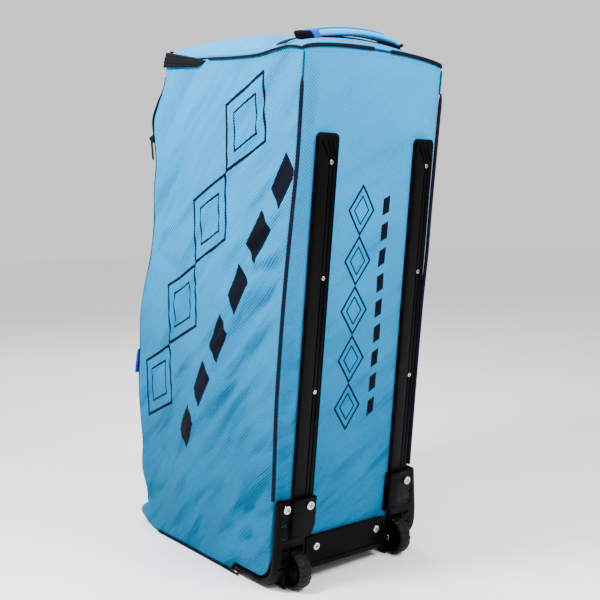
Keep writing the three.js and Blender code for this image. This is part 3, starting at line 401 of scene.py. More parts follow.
def line_through(table, start, end):
    xs = np.array(table[start], float)
    ys = np.array(table[end], float)
    before = np.maximum(np.arange(len(xs)) - 1, 0)
    after = np.minimum(np.arange(len(xs)) + 1, len(xs) - 1)
    slopes = (ys[after] - ys[before]) / (xs[after] - xs[before])

    def value(x):
        held = np.clip(x, xs[0], xs[-1])
        i = np.clip(np.searchsorted(xs, held) - 1, 0, len(xs) - 2)
        span = xs[i + 1] - xs[i]
        t = (held - xs[i]) / span
        first = ys[i] * (1 + 2 * t) * (1 - t) ** 2 + slopes[i] * span * t * (1 - t) ** 2
        return first + ys[i + 1] * t * t * (3 - 2 * t) + slopes[i + 1] * span * t * t * (t - 1)

    return value


def in_metres(a, b):
    return np.stack([a, b], -1) / 1000


def mixed(a, b, share):
    return a + (b - a) * share


def eased(x, low, high):
    t = np.clip((x - low) / (high - low), 0, 1)
    return t * t * (3 - 2 * t)


side_end = line_through(FRONT_OUTLINE, "height", "side")
front_at = line_through(FRONT_OUTLINE, "height", "front")
top_seam = line_through(TOP_OUTLINE, "depth", "seam")
top_arch = line_through(TOP_OUTLINE, "depth", "arch")
flare = {LEFT: line_through(BACK_FLARE, "height", "left"), RIGHT: line_through(BACK_FLARE, "height", "right")}
BEND_Y = HOUSING_FACE + HOUSING_BEND
BEND_Z = (HOUSING_BEND + FLOOR_GAP - BEND_Y * math.sin(LEAN)) / math.cos(LEAN)
SIDE_BEND = BEND_Y - (BACK + SEAM)
LOW, HIGH = FRONT_OUTLINE["height"][0], FRONT_OUTLINE["height"][-1]


def floor_at(y):
    return -y * math.tan(LEAN)


def pillow(x):
    return np.maximum(0, 1 - (x / HALF_WIDTH) ** 2) ** ARCH_POWER


def side_bottom(y):
    bent = BEND_Z - np.sqrt(np.maximum(0, SIDE_BEND**2 - (y - BEND_Y) ** 2))
    over_foot = BEND_Z - SIDE_BEND - floor_at(BEND_Y)
    flat = floor_at(y) + mixed(over_foot, 2.6, eased(y, HOUSING_FOOT + 1, HOUSING_FOOT + 15))
    return np.where(y < BEND_Y, bent, flat)


def side_height(y, t):
    return mixed(side_bottom(y), top_seam(y) - SEWN / 2, t)


def top_height(x, y):
    return top_seam(y) + top_arch(y) * pillow(x)


print("lean", round(math.degrees(LEAN), 2), "bend", round(BEND_Y, 1), round(BEND_Z, 1))

# %% [markdown]
# Folds are what makes a bag look soft. The large ones are listed with their place, direction and size,
# as they are seen on the real side. A second list holds the shorter creases. The columns are depth,
# height, turn in degrees, length, width and rise. The sides are slightly crowned, the front lid bulges,
# and the top arches. At the lowest front corner the side cloth wraps further round.

# %% Surfaces of the cloth panels
SIDE_FLAT = 0.92
ZIP_FROM = math.radians(36)
ZIP_TO = math.radians(58)
ZIP_TOP = 0.976
SIDE_CROWN = {LEFT: 8.0, RIGHT: 5.0}
FOLD_SHARE = {LEFT: 1.0, RIGHT: 0.5}
FRONT_CROWN = 14.0
CORNER_SHARE = 0.07
SIDE_FOLDS = [
    (-76, 615, -52, 120, 26, 5),
    (-118, 492, -52, 90, 22, -6),
    (-64, 470, -55, 110, 30, 6),
    (124, 640, -62, 95, 26, -6),
    (166, 540, 35, 60, 24, -8),
    (-106, 248, -38, 90, 26, -6),
    (20, 300, -60, 130, 40, 6),
    (-102, 142, 12, 90, 24, -5),
    (62, 116, -40, 100, 32, 5),
]

SIDE_CREASES = [
    (-106, 450, -52, 75, 15.6, -6.3),
    (-131, 460, -47, 60, 14.4, 6.3),
    (-109, 332, -54, 84, 19.2, 7.7),
    (-81, 351, -51, 80, 16.8, -5.6),
    (-148, 252, -37, 33, 9.6, -5.6),
    (-147, 228, -40, 50, 14.4, 5.6),
    (-180, 325, -37, 18, 7.2, -4.2),
    (-181, 226, -36, 20, 7.2, -4.2),
    (-139, 120, -13, 70, 13.2, 7),
    (-166, 149, -8, 42, 10.8, -5.6),
    (-176, 92, -37, 40, 10.8, 4.9),
    (-139, 563, -21, 53, 12, -5.6),
    (-142, 585, -20, 48, 12, 5.6),
    (-153, 516, -35, 37, 10.8, -5.6),
    (154, 605, -33, 80, 12, 4.9),
    (178, 622, -42, 41, 9.6, -4.9),
    (-60, 587, -43, 58, 16.8, 4.9),
    (192, 536, 14, 31, 9.6, -4.2),
    (151, 745, -34, 42, 12, 3.5),
    (40, 250, -48, 90, 16.8, 4.2),
    (70, 130, -40, 70, 15.6, 4.9),
]


def fold_rise(folds, a, b):
    total = 0
    for depth, height, turn, length, width, rise in folds:
        c, s = math.cos(math.radians(turn)), math.sin(math.radians(turn))
        along = (a - depth) * c + (b - height) * s
        across = (b - height) * c - (a - depth) * s
        total = total + rise * np.exp(-((along / length) ** 2) - (across / width) ** 2)
    return total


def corner_point(side, angle, t):
    height = mixed(LOW, HIGH, t)
    y = mixed(side_end(height), front_at(height), np.sin(angle))
    return side * (HALF_WIDTH - CORNER + CORNER * np.cos(angle)), y, side_height(y, t)


def side_point(side, s, t):
    u = np.minimum(s / SIDE_FLAT, 1)
    y = mixed(BACK + SEWN, side_end(mixed(LOW, HIGH, t)), u)
    z = side_height(y, t)
    calm = (4 * u * (1 - u)) ** 1.5 * np.minimum(1, 4 * t * (1 - t) * 1.4)
    crown = calm * (SIDE_CROWN[side] + FOLD_SHARE[side] * fold_rise(SIDE_FOLDS, y, z))
    x = side * (HALF_WIDTH + flare[side](z) * (1 - u) ** 1.5 + crown)
    wrap = mixed(ZIP_TO * 1.02, ZIP_FROM * 0.94, eased(t, 0.04, 0.075))
    around = corner_point(side, (s - SIDE_FLAT) / (1 - SIDE_FLAT) * wrap, t)
    return [np.where(s > SIDE_FLAT, b, a) for a, b in zip((x, y, z), around)]


def front_point(u, t):
    side = np.where(u < 0.5, LEFT, RIGHT)
    from_edge = np.minimum(u, 1 - u)
    height = mixed(LOW, HIGH, t)
    lift = top_arch(front_at(HIGH)) * pillow(HALF_WIDTH - CORNER) * t**8
    angle = mixed(ZIP_TO * 1.05, math.pi / 2, np.minimum(from_edge / CORNER_SHARE, 1))
    cx, cy, cz = corner_point(side, angle, t)
    flat = HALF_WIDTH - CORNER
    x = mixed(-flat, flat, (u - CORNER_SHARE) / (1 - 2 * CORNER_SHARE))
    crown = FRONT_CROWN * (1 - (x / flat) ** 2) * np.minimum(1, 4 * t * (1 - t) * 1.5)
    rise = top_arch(front_at(height)) * (pillow(x) - pillow(flat)) * t**8
    bent = from_edge < CORNER_SHARE
    return [np.where(bent, cx, x), np.where(bent, cy, cy + crown), np.where(bent, cz, cz + rise) + lift]


def top_point(u, v):
    x = mixed(-1, 1, u) * (HALF_WIDTH - 0.6)
    beyond = np.maximum(0, np.abs(x) - (HALF_WIDTH - CORNER)) / CORNER
    front = mixed(side_end(HIGH), front_at(HIGH), np.sqrt(np.maximum(0, 1 - beyond**2)))
    y = mixed(BACK + SEWN, front - 4, v)
    return x, y, top_height(x, y) + SEWN / 2


BACK_BEND = 52.0
BACK_BEND_Y = BACK - BOARD_RISE + BACK_BEND
BACK_BEND_Z = (BACK_BEND + 2.6 - BACK_BEND_Y * math.sin(LEAN)) / math.cos(LEAN)
BEND_SHARE = 0.16


def back_point(u, v):
    flat = mixed(-HALF_WIDTH, HALF_WIDTH, u)
    board = eased(2 * HALF_WIDTH * np.minimum(u, 1 - u), 4, 28)
    angle = mixed(math.pi * 1.5 - LEAN, math.pi, np.minimum(v / BEND_SHARE, 1))
    reach = BACK_BEND - (1 - board) * BOARD_RISE
    top = top_height(flat, BACK) - SEWN / 2
    straight = mixed(BACK_BEND_Z, top, np.maximum(0, (v - BEND_SHARE) / (1 - BEND_SHARE)))
    z = np.where(v < BEND_SHARE, BACK_BEND_Z + reach * np.sin(angle), straight)
    board_y = BACK - BOARD_RISE * board * eased(top - z, 0, 40)
    y = np.where(v < BEND_SHARE, BACK_BEND_Y + reach * np.cos(angle), board_y)
    left, right = -HALF_WIDTH - flare[LEFT](z) + SEWN, HALF_WIDTH + flare[RIGHT](z) - SEWN
    return mixed(left, right, u), y, z


print("side panel at its middle:", [round(float(v), 1) for v in side_point(LEFT, 0.5, 0.5)])

# %% [markdown]
# A sewn panel starts as a grid of cloth on its surface. Then it is let settle: the cloth grows by up to
# about two parts in a hundred while its edges stay pinned where the seams are, and Blender's cloth
# solver finds the wrinkles that take up the spare cloth. The movement is capped so that no panel
# reaches what lies beside it. Last, a Solidify gives the cloth its thickness towards the inside of the
# bag.

# %% Helpers for sewn panels
CLOTH = 0.0018
CENTRE = np.array([0.0, -0.02, 0.45])


def activate(piece):
    bpy.ops.object.select_all(action="DESELECT")
    piece.select_set(True)
    bpy.context.view_layer.objects.active = piece


def edit_whole(piece):
    activate(piece)
    bpy.ops.object.mode_set(mode="EDIT")
    bpy.ops.mesh.select_all(action="SELECT")


def apply_all(piece):
    activate(piece)
    for modifier in list(piece.modifiers):
        bpy.ops.object.modifier_apply(modifier=modifier.name)


def round_edges(piece, width, angle):
    edge = piece.modifiers.new("edge", "BEVEL")
    edge.width = width
    edge.segments = 2
    edge.limit_method = "ANGLE"
    edge.angle_limit = math.radians(angle)
    apply_all(piece)


def cut(piece, tool):
    hole = piece.modifiers.new("cut", "BOOLEAN")
    hole.operation = "DIFFERENCE"
    hole.object = tool
    hole.use_self = True
    apply_all(piece)
    bpy.data.objects.remove(tool)


def solid_mesh(node):
    mesh = nodes[node].data.copy()
    mesh.transform(nodes[node].matrix_world)
    return mesh


def rim(a, b):
    return ((a == a.min()) | (a == a.max()) | (b == b.min()) | (b == b.max())).ravel()


def shown_as(piece, finish, slot, *replaced, body="bag"):
    piece.data.materials.clear()
    piece.data.materials.append(finish)
    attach(piece, body)
    if replaced:
        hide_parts(*replaced)
    return piece


def linked(name, mesh):
    piece = bpy.data.objects.new(name, mesh)
    scene.collection.objects.link(piece)
    return piece


def new_piece(name, points, faces, spread, flat_faces=0):
    mesh = bpy.data.meshes.new(name)
    mesh.from_pydata(points.tolist(), [], faces)
    layer = mesh.uv_layers.new(name="cloth")
    layer.data.foreach_set("uv", spread.astype(np.float32).ravel())
    smooth = [True] * (len(faces) - flat_faces) + [False] * flat_faces
    mesh.polygons.foreach_set("use_smooth", smooth)
    return linked(name, mesh)


def cloth_grid(name, points, spread):
    rows, columns = points.shape[:2]
    at = np.arange(rows * columns).reshape(rows, columns)
    faces = np.stack([at[:-1, :-1], at[:-1, 1:], at[1:, 1:], at[1:, :-1]], -1).reshape(-1, 4)
    flat = points.reshape(-1, 3)
    a, b, c = (flat[faces[:, k]] for k in range(3))
    outward = np.einsum("ij,ij->i", np.cross(b - a, c - a), a - CENTRE).sum()
    faces = faces if outward > 0 else faces[:, ::-1]
    return new_piece(name, flat, faces.tolist(), spread.reshape(-1, 2)[faces.ravel()])


def vertices_of(piece):
    co = np.zeros(len(piece.data.vertices) * 3, np.float32)
    piece.data.vertices.foreach_get("co", co)
    return co.reshape(-1, 3).astype(float)


def settle(piece, spare, pinned, growth, frames=24, cap=0.006, bending=0.1):
    sewn = vertices_of(piece)
    piece.vertex_groups.new(name="seams").add(np.flatnonzero(pinned).tolist(), 1.0, "REPLACE")
    loose = piece.vertex_groups.new(name="spare")
    levels = np.round(spare.ravel() * 20).astype(int)
    for level in np.unique(levels):
        loose.add(np.flatnonzero(levels == level).tolist(), level / 20, "REPLACE")
    cloth = piece.modifiers.new("cloth", "CLOTH")
    values = {
        "vertex_group_mass": "seams",
        "vertex_group_shrink": "spare",
        "shrink_min": -0.001,
        "shrink_max": -growth,
        "quality": 6,
        "mass": 0.2,
        "air_damping": 4.0,
        "tension_stiffness": 40.0,
        "compression_stiffness": 40.0,
        "shear_stiffness": 20.0,
        "bending_stiffness": bending,
    }
    for name, value in values.items():
        setattr(cloth.settings, name, value)
    cloth.settings.effector_weights.gravity = 0
    cloth.point_cache.frame_end = frames
    for number in range(1, frames + 1):
        scene.frame_set(number)
    settled = piece.evaluated_get(bpy.context.evaluated_depsgraph_get())
    moved = np.zeros(len(sewn) * 3, np.float32)
    settled.data.vertices.foreach_get("co", moved)
    moved = moved.reshape(-1, 3).astype(float) - sewn
    piece.modifiers.remove(cloth)
    far = np.linalg.norm(moved, axis=1, keepdims=True)
    moved *= cap * np.tanh(far / cap) / np.maximum(far, 1e-9)
    piece.data.vertices.foreach_set("co", (sewn + moved).astype(np.float32).ravel())
    piece.data.update()
    scene.frame_set(1)
    furthest, middle = far.max() * 1000, np.median(far) * 1000
    print(piece.name, "settled: furthest", round(furthest, 1), "middle", round(middle, 1), "mm")


def ripples(a, b, turn, height):
    """Faint uneven waves that run in the given direction and start the wrinkles."""
    c, s = math.cos(math.radians(turn)), math.sin(math.radians(turn))
    along, across = a * c + b * s, b * c - a * s
    fine = np.sin((across + 6 * np.sin(along / 37)) * 2 * np.pi / 27)
    patchy = 0.5 + 0.5 * np.sin(along / 53 + across / 31) * np.sin(across / 67 - along / 90)
    return height * patchy * (fine + 1.5 * np.sin((across + 11 * np.sin(along / 61 + 1)) * 2 * np.pi / 48))


def thicken(piece, thickness=CLOTH):
    wall = piece.modifiers.new("wall", "SOLIDIFY")
    wall.thickness = thickness
    wall.offset = -1
    apply_all(piece)


print("sewing helpers ready")

# %% [markdown]
# The two side panels come first, because the left one is the largest surface in the photograph. Its
# wrinkles run from the back seam down towards the front. Most of the spare cloth is low down and near
# the back seam. The listed creases and faint ripples are raised first, and the solver settles the cloth
# from there.

# %% Side panels
SIDE_STEPS = (100, 200)
side_cloth = {}
for side, word in SIDES:
    s, t = np.meshgrid(np.linspace(0, 1, SIDE_STEPS[0]), np.linspace(0, 1, SIDE_STEPS[1]))
    x, y, z = side_point(side, s, t)
    inside = eased(s, 0, 0.1) * eased(s, 0.92, 0.8) * eased(t, 0, 0.06) * eased(t, 1, 0.93)
    restless = eased(z, 720, 260) * eased(y, 130, -140)
    edge = eased(s, 0, 0.03) * eased(s, 0.92, 0.84) * eased(t, 0, 0.03) * eased(t, 1, 0.96)
    relief = inside * ripples(y, z, -50, 0.7 + 1.1 * restless) + edge * fold_rise(SIDE_CREASES, y, z)
    points = stand(x + side * relief, y, z)
    piece = cloth_grid(f"{word}_side_cloth", points, in_metres(y, z))
    spare = 0.35 + 0.65 * eased(z, 800, 250) * eased(y, 160, -120)
    settle(piece, spare, rim(s, t), 0.024, cap=0.007, bending=0.05)
    thicken(piece)
    shown_as(piece, side_blue if side == LEFT else plain_blue, "blue_fabric", f"{word}_side_panel")
    side_cloth[side] = piece

# %% [markdown]
# The back panel lies over a stiff board, so it is calm, with a few shallow diagonal folds. It bends
# under the bag at the bottom. In its list of folds the first column is the place across the back. Where
# the housings and the wheels are, the cloth is cut away: the grid leaves those cells out.

# %% Back panel
BACK_FOLDS = [
    (-20, 690, 28, 120, 22, 1.6),
    (20, 560, 32, 110, 20, -1.6),
    (-10, 420, 30, 120, 24, 1.8),
    (30, 290, 34, 100, 20, -1.8),
    (10, 200, 30, 110, 18, 1.8),
]
WELL_INNER = 98.1
WELL_TOP = 112.0
u, v = np.meshgrid(np.linspace(0, 1, 110), np.linspace(0, 1, 260))
x, y, z = back_point(u, v)
quiet = eased(np.abs(x), 88, 78) * eased(z, 130, 200) * eased(z, 860, 760)
y = y - quiet * fold_rise(BACK_FOLDS, x, z)
back_cloth = cloth_grid("back_cloth", stand(x, y, z), in_metres(x, z))
kept = ~((np.abs(x) > WELL_INNER) & (z < WELL_TOP) & ((np.abs(x) < 145) | (z < BEND_Z + 2)))
back_cloth.vertex_groups.new(name="kept").add(np.flatnonzero(kept.ravel()).tolist(), 1.0, "REPLACE")
mask = back_cloth.modifiers.new("cut_away", "MASK")
mask.vertex_group = "kept"
thicken(back_cloth)
shown_as(back_cloth, back_blue, "blue_fabric", "back_panel")
print("back cloth:", len(back_cloth.data.polygons), "faces")

# %% [markdown]
# The front lid bulges between the two zips, and the top arches up from its seams. Both settle as the
# sides do, with less spare cloth.

# %% Front lid and top end
u, t = np.meshgrid(np.linspace(0, 1, 80), np.linspace(0, ZIP_TOP, 180))
x, y, z = front_point(u, t)
inside = eased(u, 0, 0.1) * eased(u, 1, 0.9) * eased(t, 0, 0.06) * eased(t, ZIP_TOP, 0.9)
points = stand(x, y + inside * ripples(x, z, 40, 0.5), z)
step_x = np.diff(x, axis=1, prepend=x[:, :1])
step_y = np.diff(y, axis=1, prepend=y[:, :1])
around = np.cumsum(np.hypot(step_x, step_y), axis=1)
front_cloth = cloth_grid("front_cloth", points, in_metres(around, z))
settle(front_cloth, np.full(u.shape, 0.7), rim(u, t), 0.02, cap=0.006, bending=0.06)
thicken(front_cloth)
shown_as(front_cloth, plain_blue, "blue_fabric", "front_panel")

u, v = np.meshgrid(np.linspace(0, 1, 90), np.linspace(0, 1, 100))
x, y, z = top_point(u, v)
inside = eased(u, 0, 0.12) * eased(u, 1, 0.88) * eased(v, 0.3, 0.45) * eased(v, 1, 0.9)
points = stand(x, y, z + inside * ripples(x, y, 30, 0.3))
top_cloth = cloth_grid("top_cloth", points, in_metres(x, y))
settle(top_cloth, inside, rim(u, v), 0.006, cap=0.0015, bending=0.1)
thicken(top_cloth)
shown_as(top_cloth, plain_blue, "blue_fabric", "top_end_panel")
print("front and top:", len(front_cloth.data.polygons), len(top_cloth.data.polygons), "faces")

# %% [markdown]
# The bottom end is a plain black panel that lies flat on the floor, cut out at the housings.

# %% Bottom end
BASE = {
    "half": 150.0, "inner": 94.0, "corner": 34.0,
    "back": -157.5, "foot": -90.0, "side": 176.0, "front": 230.0,
}
corner_steps = np.linspace(0, 1, 9)
curve_x = BASE["half"] - BASE["corner"] * corner_steps**2
curve_y = mixed(BASE["side"], BASE["front"], 1 - (1 - corner_steps) ** 2)
outline = [(BASE["inner"], BASE["back"]), (BASE["inner"], BASE["foot"]), (BASE["half"], BASE["foot"])]
outline += list(zip(curve_x, curve_y))
outline += [(-px, py) for px, py in outline[::-1]]
bottom_mesh = bpy.data.meshes.new("bottom_cloth")
bottom_points = [(px / 1000 + SHIFT_X, py / 1000 + SHIFT_Y, 0.0) for px, py in outline]
bottom_mesh.from_pydata(bottom_points, [], [list(range(len(outline)))])
bottom_cloth = linked("bottom_cloth", bottom_mesh)
edit_whole(bottom_cloth)
bpy.ops.mesh.extrude_region_move(TRANSFORM_OT_translate={"value": (0, 0, 0.002)})
bpy.ops.mesh.select_all(action="SELECT")
bpy.ops.mesh.normals_make_consistent(inside=False)
bpy.ops.uv.cube_project(cube_size=1.0, correct_aspect=False)
bpy.ops.object.mode_set(mode="OBJECT")
bottom_mesh.uv_layers[0].name = "cloth"
round_edges(bottom_cloth, 0.0007, 30)
shown_as(bottom_cloth, black_tape, "black_fabric", "bottom_end_panel")
print("bottom end:", len(bottom_cloth.data.polygons), "faces")

# %% [markdown]
# Piping, straps and pads are skins over a row of rings. A tube follows a smooth line through a few
# points, with its ends rounded off. Small repeated things, such as teeth and stitches, are modelled
# once and copied along a line.

# %% Helpers for cords, straps and rows
def skin(name, rings):
    count, around = rings.shape[:2]
    at = np.arange(count * around).reshape(count, around)
    beside = np.roll(at, -1, axis=1)
    faces = np.stack([at[:-1], beside[:-1], beside[1:], at[1:]], -1).reshape(-1, 4)
    closed = np.concatenate([rings, rings[:, :1]], axis=1)
    girth = np.cumsum(np.linalg.norm(np.diff(closed, axis=1, prepend=closed[:, :1]), axis=2), axis=1)
    middle = rings.mean(axis=1)
    along = np.cumsum(np.linalg.norm(np.diff(middle, axis=0, prepend=middle[:1]), axis=1))
    spread = np.stack([girth, np.broadcast_to(along[:, None], girth.shape)], -1)
    cells = [spread[:-1, :-1], spread[:-1, 1:], spread[1:, 1:], spread[1:, :-1]]
    corners = np.stack(cells, 2).reshape(-1, 4, 2)
    flat = rings.reshape(-1, 3)
    a, b, d = flat[faces[:, 0]], flat[faces[:, 1]], flat[faces[:, 3]]
    hub = np.repeat(middle[:-1], around, axis=0)
    step = 1 if np.einsum("ij,ij->i", np.cross(b - a, d - a), a - hub).sum() > 0 else -1
    all_faces = faces[:, ::step].tolist() + [at[0, ::-step].tolist(), at[-1, ::step].tolist()]
    all_corners = [corners[:, ::step].reshape(-1, 2), spread[0, :-1][::-step], spread[-1, :-1][::step]]
    return new_piece(name, flat, all_faces, np.concatenate(all_corners), flat_faces=2)


def oval(wide, thick, count, square=2.0):
    angle = np.linspace(0, 2 * np.pi, count, endpoint=False)
    c, s = np.cos(angle), np.sin(angle)
    across = np.sign(c) * np.abs(c) ** (2 / square) * wide / 2
    return np.stack([across, np.sign(s) * np.abs(s) ** (2 / square) * thick / 2], -1)


def smooth_path(points, steps):
    points = np.asarray(points, float)
    at = list(range(len(points)))
    columns = [line_through({"at": at, "to": points[:, k]}, "at", "to") for k in range(3)]
    return np.stack([column(np.linspace(0, len(points) - 1, steps)) for column in columns], -1)


def tube(name, points, radius, steps, guide, sides=14, rounded=(True, True)):
    path = smooth_path(points, steps)
    ahead = np.gradient(path, axis=0)
    across = np.cross(ahead, guide)
    across /= np.linalg.norm(across, axis=1, keepdims=True)
    up = np.cross(across, ahead / np.linalg.norm(ahead, axis=1, keepdims=True))
    ring = oval(2 * radius, 2 * radius, sides)
    ends = np.ones((steps, 1, 1))
    for is_round, tip, beside in zip(rounded, (0, -1), (1, -2)):
        ends[tip], ends[beside] = (0.45, 0.92) if is_round else (1.0, 1.0)
    rings = path[:, None] + ends * (ring[:, :1] * across[:, None] + ring[:, 1:] * up[:, None])
    return skin(name, stand(*np.moveaxis(rings, -1, 0)))


def placed(point, ahead, out):
    ahead = Vector(ahead).normalized()
    across = ahead.cross(Vector(out)).normalized()
    matrix = Matrix((across, ahead, across.cross(ahead))).transposed().to_4x4()
    matrix.translation = Vector(point)
    return np.array(matrix)


def repeated(name, model, places):
    verts = vertices_of(model)
    faces = [list(p.vertices) for p in model.data.polygons]
    copies = [verts @ place[:3, :3].T + place[:3, 3] for place in places]
    shifted = [[v + k * len(verts) for v in face] for k in range(len(places)) for face in faces]
    loops = np.array([v for face in faces for v in face])
    own = np.tile(verts[loops][:, :2], (len(places), 1))
    return new_piece(name, np.concatenate(copies), shifted, own)


def model_bar(name, size, rounding):
    bpy.ops.object.select_all(action="DESELECT")
    bpy.ops.mesh.primitive_cube_add(size=1)
    piece = bpy.context.object
    piece.name = name
    edit_whole(piece)
    bpy.ops.transform.resize(value=size)
    bpy.ops.mesh.bevel(offset=rounding, segments=1, affect="EDGES")
    bpy.ops.object.mode_set(mode="OBJECT")
    return piece


def evenly(path, start, end, pitch, *others):
    gone = np.concatenate([[0], np.cumsum(np.linalg.norm(np.diff(path, axis=0), axis=1))])
    at = np.arange(start, gone[-1] - end, pitch)
    columns = range(3)
    return [np.stack([np.interp(at, gone, row[:, k]) for k in columns], -1) for row in (path, *others)]


stitch = model_bar("stitch", (0.0008, 0.0030, 0.0007), 0.0002)
tooth = model_bar("tooth", (0.0034, 0.0014, 0.0018), 0.0004)


def stitch_row(name, piece, path, thread, pitch=0.0041):
    (spots,) = evenly(path, pitch, pitch / 2, pitch)
    ahead = np.gradient(spots, axis=0)
    places = []
    for spot, way in zip(spots, ahead):
        _, near, normal, _ = piece.closest_point_on_mesh(Vector(spot))
        places.append(placed(near, way, normal))
    return shown_as(repeated(name, stitch, places), thread, "blue_fabric")


print("stitch and tooth:", len(stitch.data.polygons), len(tooth.data.polygons), "faces")

# %% [markdown]
# Piping edges the seams. The two back seams carry thick black piping most of the way up, and a plain
# blue ridge above it. The top back seam has two runs with a gap between them. Thin piping follows the
# side seams of the top and of the base.

# %% Piping
PIPING = {"back": 3.3, "thin": 1.8}
up_axis = np.array([0.0, 0.0, 1.0])
deep_axis = np.array([0.0, 1.0, 0.0])
piping_count = 0
for side, word in SIDES:
    heights = np.array([190.6, 260, 346, 430, 510, 590, 668, 750, 868.0])
    run = [(side * (HALF_WIDTH + flare[side](z) + 2.6), BACK - 2.2, z) for z in heights]
    piece = tube(f"back_{word}_cord", run, PIPING["back"], 90, deep_axis, rounded=(False, True))
    shown_as(piece, black_cover, "black_fabric", f"back_{word}_piping")
    ridge = [(side * (HALF_WIDTH + flare[side](z) + 0.6), BACK - 0.6, z) for z in (866, 880, 894, 907)]
    shown_as(tube(f"back_{word}_ridge", ridge, 1.7, 16, deep_axis), seam_blue, "blue_fabric")
    depths = (-202, -168, -133, -84, -13, 60)
    run = [(side * (HALF_WIDTH + PIPING["thin"] + 0.7), y, top_seam(y) + 0.6) for y in depths]
    piece = tube(f"top_{word}_cord", run, PIPING["thin"], 60, up_axis)
    shown_as(piece, black_cover, "black_fabric", f"top_{word}_piping")
    feet = [side_point(side, np.array(s), np.array(0.0)) for s in (0.207, 0.27, 0.34, 0.44, 0.55, 0.7, 0.91)]
    run = [(x + side * (PIPING["thin"] + 0.7), y, floor_at(y) + PIPING["thin"] + 0.8) for x, y, _ in feet]
    piece = tube(f"base_{word}_cord", run, PIPING["thin"], 60, up_axis)
    shown_as(piece, black_cover, "black_fabric", f"base_{word}_piping")
    piping_count += 3
for word, start, end in (("left", -147, -10), ("right", 26, 147)):
    run = [(x, BACK - 2.2, top_height(x, BACK) + 1.4) for x in np.linspace(start, end, 9)]
    corner = (math.copysign(HALF_WIDTH + 1.2, start + end), BACK + 3, top_seam(BACK) + 0.8)
    run = [corner, *run] if word == "left" else [*run, corner]
    piece = tube(f"top_back_{word}_cord", run, PIPING["back"] - 0.4, 60, up_axis)
    shown_as(piece, black_cover, "black_fabric", f"top_back_piping_{word}")
    piping_count += 1
run = [(x, BACK - 1.0, top_height(x, BACK) + 0.4) for x in np.linspace(-12, 28, 6)]
shown_as(tube("top_back_ridge", run, 1.6, 24, up_axis), seam_blue, "blue_fabric")
print("piping:", piping_count, "runs")

# %% [markdown]
# The main zip runs up one front corner, over the front of the top and down the other corner. Its tape
# is a thin black strip and its coil is a row of small teeth from both sides. Two ribbed pieces close
# the ends of the zip on the sides. The tape shows wider near the top.

# %% Zip
def lifted(points, amount):
    away = np.cross(np.gradient(points, axis=1), np.gradient(points, axis=0))
    away /= np.linalg.norm(away, axis=2, keepdims=True)
    away *= np.sign(np.einsum("ijk,ijk->", away, points - CENTRE))
    return points + away * np.asarray(amount)[..., None] / 1000, away


def strip(name, points, spread, thickness):
    piece = cloth_grid(name, points, spread)
    thicken(piece, thickness / 1000)
    return piece


def teeth_along(name, points, away):
    spots, outs = evenly(points, 0.003, 0.002, 0.0021, away)
    ways = np.gradient(spots, axis=0)
    places = []
    for k, (spot, out, way) in enumerate(zip(spots, outs, ways)):
        place = placed(spot + out * 0.0007, way, out)
        place[:3, 3] += place[:3, 0] * (0.0009 if k % 2 else -0.0009)
        places.append(place)
    return repeated(name, tooth, places)


ZIP_FOOT = 0.056
ZIP_BULGE = 803.0
TAPE_SPREAD = 0.0115
for side, word in SIDES:
    a, t = np.meshgrid(np.linspace(0, 1, 13), np.linspace(ZIP_FOOT, ZIP_TOP, 190))
    bulge = np.exp(-(((mixed(LOW, HIGH, t) - ZIP_BULGE) / 36) ** 4))
    shown = eased(mixed(LOW, HIGH, t), 540, 620) * eased(mixed(LOW, HIGH, t), 850, 800)
    start = ZIP_FROM - np.radians(2 + 9 * shown + 16 * bulge)
    x, y, z = corner_point(side, mixed(start, ZIP_TO, a), t)
    overlap = eased(a, 0.55, 0.3) * (1.8 + 1.8 * bulge)
    points, away = lifted(stand(x, y, z), overlap)
    piece = strip(f"zip_{word}_tape", points, np.stack([a * TAPE_SPREAD, z / 1000], -1), 1.6)
    shown_as(piece, black_tape, "black_fabric", f"main_zip_{word}")
    shown_as(teeth_along(f"zip_{word}_teeth", points[:, 8], away[:, 8]), hard_black, "black_fabric")
u, v = np.meshgrid(np.linspace(0, 1, 120), np.linspace(0, 1, 7))
x, y, z = front_point(u, mixed(ZIP_TOP + 0.002, 0.9985, v))
points, away = lifted(stand(x, y, z), np.zeros_like(u))
piece = strip("zip_top_tape", points, np.stack([v * 0.02, x / 1000], -1), 1.6)
shown_as(piece, black_tape, "black_fabric", "main_zip_top")
shown_as(teeth_along("zip_top_teeth", points[3], away[3]), hard_black, "black_fabric")

RIBS = 4
ZIP_END = {
    "back_low": 90.0, "back_high": 60.0, "front": 213.0,
    "low": 889.0, "rise": 2.0, "tall": 12.0, "grow": 17.0,
}
for side, word in SIDES:
    a, b = np.meshgrid(np.linspace(0, 1, 60), np.linspace(0, 1, 41))
    y = mixed(mixed(ZIP_END["back_low"], ZIP_END["back_high"], b), ZIP_END["front"], a)
    z = ZIP_END["low"] + ZIP_END["rise"] * a + b * (ZIP_END["tall"] + ZIP_END["grow"] * a)
    round_corner = np.clip((y - side_end(HIGH)) / (front_at(HIGH) - side_end(HIGH)), 0, 1)
    wall = HALF_WIDTH - CORNER / 2 * (1 - np.sqrt(1 - round_corner**2))
    rib = (0.5 - 0.5 * np.cos(b * RIBS * 2 * np.pi)) * eased(a, 0, 0.06)
    x = side * (wall + 4.6 - 6.0 * b**2 + 1.1 * rib)
    piece = strip(f"zip_{word}_end", stand(x, y, z), in_metres(y, z), 2.4)
    shown_as(piece, black_tape, "black_fabric", f"zip_end_{word}")
print("zip: two runs, a top run and two ends")

# %% [markdown]
# The top carry handle is a padded grip in light blue mesh with bright blue binding along its upper edge
# and round its end. Black webbing lies on the top under it, and a thick black tab folds from the
# webbing round each end.

